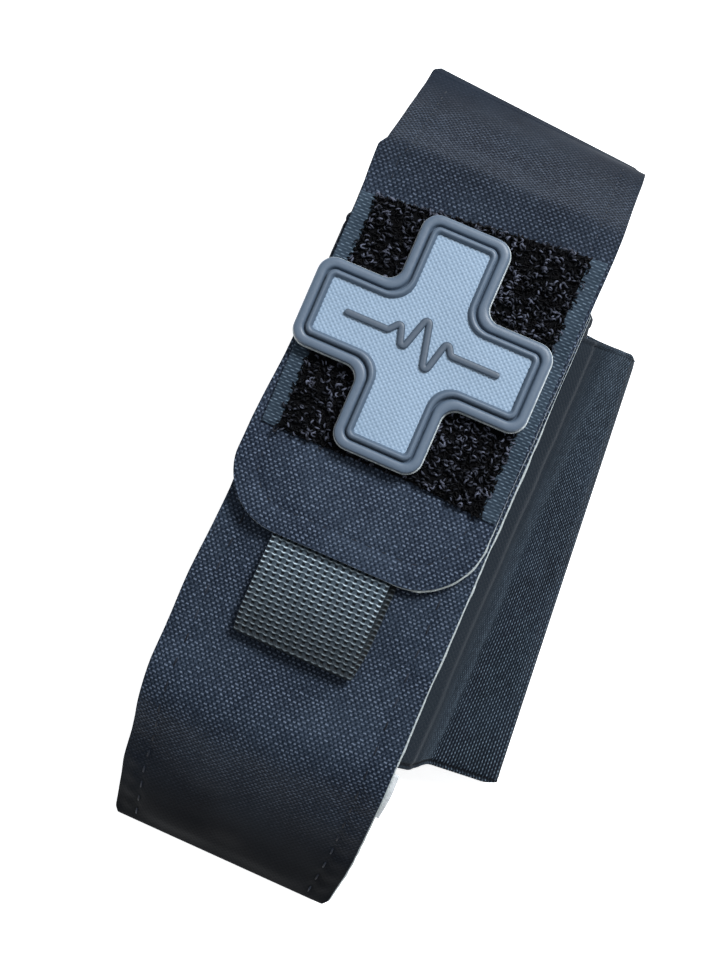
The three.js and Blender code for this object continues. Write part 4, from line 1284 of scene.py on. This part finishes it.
def masked_slab(name, x, y, mask, top, bottom, uv_scale=1.0):
    """A closed plate over the cells of a grid where mask is true."""
    n, m = len(x), len(y)
    X, Y = np.meshgrid(x, y, indexing="ij")
    V = np.concatenate([np.stack([X, Y, top], -1).reshape(-1, 3), np.stack([X, Y, bottom + 0 * X], -1).reshape(-1, 3)])
    i, j = np.nonzero(mask)
    a = i * m + j
    up = np.stack([a, a + m, a + m + 1, a + 1], 1)
    dn = up[:, ::-1] + n * m
    walls = []
    pad = np.pad(mask, 1)
    for di, dj, e in ((-1, 0, (0, 1)), (1, 0, (m + 1, m)), (0, -1, (m, 0)), (0, 1, (1, m + 1))):
        nb = pad[1 + di : 1 + di + n - 1, 1 + dj : 1 + dj + m - 1]
        k = mask & ~nb
        i, j = np.nonzero(k)
        a = i * m + j
        p, q = a + e[0], a + e[1]
        walls.append(np.stack([q, p, p + n * m, q + n * m], 1))
    Q = np.concatenate([up, dn, *walls])
    used = np.unique(Q)
    back = np.full(len(V), -1)
    back[used] = np.arange(len(used))
    V = V[used]
    return outward(make(name, V, back[Q], uv=V[:, :2] * uv_scale, sharp=60))


gx = np.arange(PX - 21.2, PX + 21.21, 0.17)
gy = np.arange(PY - 21.2, PY + 21.21, 0.17)
cxm, cym = np.meshgrid((gx[:-1] + gx[1:]) / 2, (gy[:-1] + gy[1:]) / 2, indexing="ij")
fmask = inside_cross(cxm, cym, 3.5)
FX, FY = np.meshgrid(gx, gy, indexing="ij")
# fine staggered emboss, like pressed cloth
emb = np.cos(2 * PI * (FX * 0.5 / 0.92 + FY / 0.84)) * np.cos(2 * PI * (FX * 0.5 / 0.92 - FY / 0.84))
emb = np.cos(2 * PI * FX / 1.12) * np.cos(2 * PI * FY / 1.0)
pits = np.clip(-emb, 0, 1)
crownf = 0.12 * np.cos((FX - PX) / 24) * np.cos((FY - PY) / 24)
ftop = 46.16 + crownf - 0.22 * pits**1.2 + 0.03 * N2(FX, FY, 0.5)
field = dress(masked_slab("patch_field_rubber", gx, gy, fmask, ftop, 45.2), M_FIELD)
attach(field, "patch")
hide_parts("patch_field")


# the plain raised pulse line
def ribbon(name, pts, width, z0, z1, ease=0.28):
    P = Path(pts, 0.12, 7)
    s = P.s
    a, b = P.at(s, 0)
    t = np.clip(np.minimum(s, P.length - s) / (width / 2), 0, 1)
    hw = width / 2 * np.sqrt(np.clip(1 - (1 - t) ** 2, 0.02, 1))
    sect = [(-1, z0), (-1, z1 - ease), (-0.82, z1 - ease * 0.3), (-0.45, z1), (0.45, z1), (0.82, z1 - ease * 0.3), (1, z1 - ease), (1, z0)]
    V = np.stack(
        [np.stack([a + P.na * hw * q, b + P.nb * hw * q, np.full(len(s), z)], -1) for q, z in sect], 1
    )
    n, k, _ = V.shape
    i = np.arange(n - 1)[:, None]
    j = np.arange(k)[None, :]
    A = i * k + j
    Bq = i * k + (j + 1) % k
    Q = np.stack([A, Bq, Bq + k, A + k], -1).reshape(-1, 4)
    ends = [[0, 1, 6, 7], [1, 2, 5, 6], [2, 3, 4, 5]]
    Q = np.concatenate([Q, np.array(ends)[:, ::-1], np.array(ends) + (n - 1) * k])
    V = V.reshape(-1, 3)
    return outward(make(name, V, Q, uv=V[:, :2], sharp=50))


pl = [(-16.5, 0), (-7.2, 0, 0.8), (-5.2, 2.4, 0.6), (-3.4, -3.2, 0.6), (-0.6, 6.2, 0.6), (2.4, -6.2, 0.6), (4.6, 2.6, 0.6), (6.2, 0, 0.8), (16.5, 0)]
pl = [(p[0] + PX, p[1] + PY, *p[2:]) for p in pl]
line = dress(ribbon("patch_pulse_ridge", fillet(pl, 5), 1.35, 46.0, 46.95), M_PULSE)
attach(line, "patch")
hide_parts("patch_pulse_line")

# hook backing: a thin plate whose pale edge shows past the rubber, with its hooks below
bx = np.arange(PX - 24.8, PX + 24.81, 0.4)
back_rings = [(-0.05, 43.72), (-0.22, 43.85), (-0.24, 44.4), (-0.12, 44.68), (0.4, 44.7)]
outer_b = [cross_ring(d, z) for d, z in back_rings]
inner_b = [cross_ring(6.0, 44.7), cross_ring(6.0, 43.7)]


def plate(name, rings):
    """Rings from low to high, closed below and above with one face each."""
    n = len(rings[0])
    V = np.concatenate(rings)
    k = len(rings)
    Q = []
    for i in range(k - 1):
        a = i * n + np.arange(n)
        b = i * n + (np.arange(n) + 1) % n
        Q.append(np.stack([a, b, b + n, a + n], 1))
    Q = np.concatenate(Q)
    from mathutils.geometry import tessellate_polygon

    tri = np.array(tessellate_polygon([[Vector(p) for p in rings[0]]]))
    tri2 = np.array(tessellate_polygon([[Vector(p) for p in rings[-1]]]))
    # face them apart
    def facing(t, P, up):
        nrm = np.cross(P[t[:, 1]] - P[t[:, 0]], P[t[:, 2]] - P[t[:, 0]])[:, 2]
        return np.where((nrm > 0)[:, None] == up, t, t[:, ::-1])

    tri = facing(tri, rings[0], False)
    tri2 = facing(tri2, rings[-1], True) + (k - 1) * n
    return outward(make(name, V, Q, np.concatenate([tri, tri2]), uv=V[:, :2], sharp=50))


backing = dress(plate("patch_backing_plate", outer_b), M_BACKING)
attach(backing, "patch")
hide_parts("patch_hook_backing")
hx, hy = np.meshgrid(np.arange(PX - 24, PX + 24.1, 1.0), np.arange(PY - 24, PY + 24.1, 1.0), indexing="ij")
ok = under_patch(hx, hy, 1.2)
hx, hy = hx[ok], hy[ok]
sg = np.where(np.round(hx).astype(int) % 2 == 0, 1.0, -1.0)
hooks = np.stack(
    [
        hx[:, None] + 0 * ht,
        hy[:, None] + sg[:, None] * 0.22 * (1 - np.cos(hang)),
        43.78 - np.where(ht < 0.5, ht * 1.1, 0.55 - (ht - 0.5) * 0.35) * 1.0 + 0 * hx[:, None],
    ],
    -1,
)
o2 = dress(tubes("patch_hook_stems", hooks, np.full(hooks.shape[:2], 0.13), 4), M_HOOKS)
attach(o2, "patch")


# ------------------------------------------------------------------ label, back webbing, straps and press studs
lab_path = Path([(-51.9, 36.0), (-55.5, 35.2), (-59.2, 33.1), (-62.4, 30.2)], 0.2, 5)
lu, ls_ = np.linspace(24.8, 28.2, 12), np.linspace(0, lab_path.length, 26)
LUg = np.repeat(lu[None, :], len(ls_), 0)
LSg = np.repeat(ls_[:, None], len(lu), 1)


def lab_F(u, s, w):
    a, b = lab_path.at(s, w)
    return np.stack([u + 0.2 * np.sin(s / 3), a, b - 0.10 * np.clip(u - 26.5, 0, 9) ** 1.5 + 0.12 * np.sin(s * 0.9 + u)], -1)


label = dress(slab("label", LUg, LSg, lab_F, 0.2, -0.2, [(0.05, 0, 0)], back_mat=0), M_LABEL)
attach(label, "pouch")
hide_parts("side_label")


def flat_webbing(name, along, across, z0, z1, axis, mat, p=1.09, amp=0.1, round_end=0.0, hole=None):
    """A flat length of webbing between along[0] and along[1] on the given axis ('x' or 'y'), ribbed across."""
    L0, L1 = along
    c0, c1 = across
    s = np.arange(L0, L1 + 1e-6, (L1 - L0) / round((L1 - L0) / (p / 6)))
    nx = max(10, int((c1 - c0) / 0.9))
    t = np.linspace(0, 1, nx)
    t = t - 0.06 * np.sin(2 * PI * t)
    c = c0 + (c1 - c0) * t
    Sg = np.repeat(s[:, None], nx, 1)
    Cg = np.repeat(c[None, :], len(s), 0)
    if round_end:
        d = np.clip(round_end - (s - L0), 0, round_end)
        pull = (round_end - np.sqrt(np.maximum(round_end**2 - d**2, 0)))[:, None]
        m0 = (c0 + c1) / 2
        half = (c1 - c0) / 2
        Cg = m0 + (Cg - m0) * (half - pull) / half
    h = (z1 - z0) / 2
    rel = amp * (np.abs(np.cos(PI * Sg / p)) ** 0.7 - 0.6)
    rel = rel - 0.2 * smooth01((0.5 - np.minimum(Cg - c0, c1 - Cg)) / 0.5)

    def F(u, q, w):
        zz = (z0 + z1) / 2 + w
        return np.stack([u, q, zz], -1) if axis == "y" else np.stack([q, u, zz], -1)

    ob = slab(name, Cg, Sg, F, h + rel, -h - rel, [(0.12, h * 0.5, 0), (0.16, 0, 0), (0.12, -h * 0.5, 0)], back_mat=0)
    return outward(dress(ob, mat))


for node, y0, y1, z0, z1 in (
    ("back_webbing_anchor", 58.4, 80, 0.06, 1.14),
    ("back_webbing_upper", 56, 82, 3.76, 4.89),
    ("back_webbing_middle", 4, 29, 3.76, 4.89),
    ("back_webbing_lower", -46, -21, 3.76, 4.89),
):
    o = flat_webbing(node + "_weave", (-24.9, 24.9), (y0, y1), z0, z1, "x", M_BACKWEB)
    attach(o, "pouch")
    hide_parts(node)

for nm, x in (("left", -13.0), ("right", 13.0)):
    body = "strap_" + nm
    o = flat_webbing("belt_strap_weave_" + nm, (-77, 57.5), (x - 9.9, x + 9.9), 1.56, 2.74, "y", M_BACKWEB, round_end=3.0)
    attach(o, body)
    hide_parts("belt_strap_" + nm)
    o = dress(
        lathe(
            "snap_cap_turned_" + nm,
            [(0, 0), (3.4, 0.0), (4.4, 0.06), (5.1, 0.2), (5.75, 0.5), (6.1, 0.85), (6.15, 1.0), (6.0, 1.2), (1.9, 1.22), (1.9, 3.45), (1.7, 3.55), (0, 3.55)],
            x,
            -68,
        ),
        M_SNAP,
    )
    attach(o, body)
    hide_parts("snap_cap_" + nm)
    o = dress(
        lathe(
            "snap_socket_turned_" + nm,
            [(2.2, 3.05), (5.3, 3.05), (5.42, 3.2), (5.35, 3.5), (4.9, 3.6), (4.6, 4.0), (4.3, 4.28), (3.6, 4.33), (2.95, 4.25), (2.85, 3.7), (2.3, 3.55)],
            x,
            -68,
        ),
        M_SNAP,
    )
    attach(o, body)
    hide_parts("snap_socket_" + nm)
    o = dress(
        lathe(
            "snap_stud_turned_" + nm,
            [(0, 3.85), (1.9, 3.87), (2.35, 4.0), (2.5, 4.2), (2.3, 4.5), (4.6, 4.58), (4.8, 4.75), (4.7, 4.95), (1.8, 4.98), (1.8, 7.0), (1.6, 7.1), (0, 7.1)],
            x,
            -68,
        ),
        M_SNAP,
    )
    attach(o, "pouch")
    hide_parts("snap_stud_" + nm)
    o = dress(
        lathe(
            "snap_eyelet_turned_" + nm,
            [(2.1, 6.65), (4.3, 6.65), (4.42, 6.75), (4.2, 7.0), (3.1, 7.2), (2.2, 7.15), (2.05, 6.9)],
            x,
            -68,
        ),
        M_SNAP,
    )
    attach(o, "pouch")
    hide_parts("snap_eyelet_" + nm)


# ------------------------------------------------------------------ the folded tourniquet inside
def zk(k):
    return 8.7 + 3.2 * k


pts = [(60.0, zk(0))]
for y, k, side in ((-74, 0, -1), (69, 1, 1), (-68, 2, -1), (66, 3, 1)):
    zc, r = zk(k) + 1.6, 1.6
    for i in range(15):
        a = -PI / 2 + PI * i / 14
        pts.append((y + side * r * math.cos(a), zc + r * math.sin(a)))
pts.append((-55.0, zk(4)))
tqp = Path(pts, 0.2, 5)
ts_ = np.arange(0, tqp.length, 0.4)
tt = np.linspace(-19, 19, 24)
TSg = np.repeat(ts_[:, None], len(tt), 1)
TUg = np.repeat(tt[None, :], len(ts_), 0)
rel = 0.12 * (np.abs(np.cos(PI * TSg / 1.6)) ** 0.7 - 0.7) - 0.25 * smooth01((1.0 - (19 - np.abs(TUg))) / 1.0)


def tq_F(u, s, w):
    a, b = tqp.at(s, w)
    return np.stack([u, a, b], -1)


o = dress(slab("tourniquet_strap_weave", TUg, TSg, tq_F, 1.15 + rel, -1.15 - rel, [(0.1, 0.5, 0), (0.14, 0, 0), (0.1, -0.5, 0)], back_mat=0), M_TQ)
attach(o, "tourniquet")
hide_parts("tourniquet_strap")

MATS = {
    "windlass_rod": M_ROD,
    "windlass_clip": M_PLASTIC,
    "stabilizer_plate": M_PLASTIC,
    "tourniquet_buckle": M_PLASTIC,
    "strap_tip": M_PLASTIC,
    "inner_band": None,
    "time_strap": None,
}


def arch(name, pts, y0, y1, t, mat, p):
    """A strap bent over in the (x, z) plane, ribbed across, between two y."""
    P = Path(fillet(pts, 10), 0.1, 9)
    s = np.linspace(0, P.length, int(P.length / 0.18))
    y = np.linspace(y0, y1, 22)
    Sg = np.repeat(s[:, None], len(y), 1)
    Yg = np.repeat(y[None, :], len(s), 0)
    rel = 0.06 * (np.abs(np.cos(PI * Sg / p)) ** 0.7 - 0.6)

    def F(u, q, w):
        a, b = P.at(q, w)
        return np.stack([a, u, b], -1)

    return outward(dress(slab(name, Yg, Sg, F, t / 2 + rel, -t / 2 - rel * 0, [(0.08, 0, 0)], back_mat=0), mat))


mid_y = (-54 + 61) / 2
onp = 24.8
o = arch(
    "inner_band_weave",
    [(-16, onp + 0.6), (-9.5, onp + 0.6, 0.8), (-8.2, 30.3, 2), (8.2, 30.3, 2), (9.5, onp + 0.6, 0.8), (16, onp + 0.6)],
    mid_y - 10.3,
    mid_y + 10.3,
    1.1,
    M_BAND,
    0.9,
)
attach(o, "tourniquet")
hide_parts("inner_band")
o = arch(
    "time_strap_weave",
    [(-17, onp + 1.6), (-16.4, 30.3, 4), (-12.5, 35.9, 3), (12.5, 35.9, 3), (16.4, 30.3, 4), (17, onp + 1.6)],
    -43,
    -29,
    0.75,
    M_TIME,
    0.7,
)
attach(o, "tourniquet")
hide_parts("time_strap")

for node, mat in MATS.items():
    if mat is None:
        continue
    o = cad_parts[node]
    o.data.materials.clear()
    o.data.materials.append(mat)
    for p in o.data.polygons:
        p.material_index = 0
    b = o.modifiers.new("edges", "BEVEL")
    b.width = 0.00035
    b.segments = 3
    b.limit_method = "ANGLE"
    b.angle_limit = math.radians(28)
    b.harden_normals = False


# ------------------------------------------------------------------ camera, lights and floor
def rotvec(v):
    v = Vector(v)
    return Matrix.Rotation(v.length, 3, v.normalized()) if v.length else Matrix.Identity(3)


R = rotvec((-0.0129, -0.0598, -0.4098))
T = Vector((4.7346, -1.7634, -336.9215))
C = -(R.transposed() @ T)
cam = bpy.data.objects.new("camera", bpy.data.cameras.new("camera"))
bpy.context.scene.collection.objects.link(cam)
cam.data.sensor_fit = "AUTO"
cam.data.sensor_width = 36.0
cam.data.lens = 1485 * 36 / 960
cam.data.clip_start = 0.01
cam.data.clip_end = 20
cam.matrix_world = Matrix.Translation(Vector(row(*C))) @ R.transposed().to_4x4()
bpy.context.scene.camera = cam

fm = Mat("floor_paper", 0.9, spec=0.1)
g = fm.noise(fm.obj(), 0.004, 2.0)
fm.col(fm.mix(g, (0.93, 0.935, 0.94, 1), (0.96, 0.96, 0.965, 1)))
fm.b.inputs["Emission Color"].default_value = (1.0, 1.0, 1.0, 1)
fm.b.inputs["Emission Strength"].default_value = 0.8
floor_me = bpy.data.meshes.new("floor")
k = 3.0
floor_me.from_pydata([(-k, -k, -0.0002), (k, -k, -0.0002), (k, k, -0.0002), (-k, k, -0.0002)], [], [(0, 1, 2, 3)])
floor = bpy.data.objects.new("floor", floor_me)
floor_me.materials.append(fm.m)
bpy.context.scene.collection.objects.link(floor)

world = bpy.data.worlds.new("studio")
bpy.context.scene.world = world
world.use_nodes = True
bg = world.node_tree.nodes["Background"]
bg.inputs[0].default_value = (0.93, 0.96, 1.0, 1)
bg.inputs[1].default_value = 0.21


def area(name, at, aim, size, power, colour=(1, 1, 1)):
    d = bpy.data.lights.new(name, "AREA")
    d.shape = "RECTANGLE"
    d.size, d.size_y = size
    d.energy = power
    d.color = colour
    o = bpy.data.objects.new(name, d)
    bpy.context.scene.collection.objects.link(o)
    at, aim = Vector(at), Vector(aim)
    o.matrix_world = Matrix.Translation(at) @ (at - aim).to_track_quat("Z", "Y").to_matrix().to_4x4()
    return o


area("key", (0.38, 0.82, 1.12), (0, 0, 0.03), (0.5, 0.36), 28.5, (0.94, 0.97, 1.0))
area("over", (-0.1, 0.05, 1.3), (0, 0, 0), (1.5, 1.5), 3.5, (0.96, 0.98, 1.0))
area("fill", (-0.9, -0.5, 0.8), (0, 0, 0.03), (0.9, 0.9), 0.8, (0.9, 0.95, 1.0))

bpy.context.scene.view_settings.view_transform = "Standard"
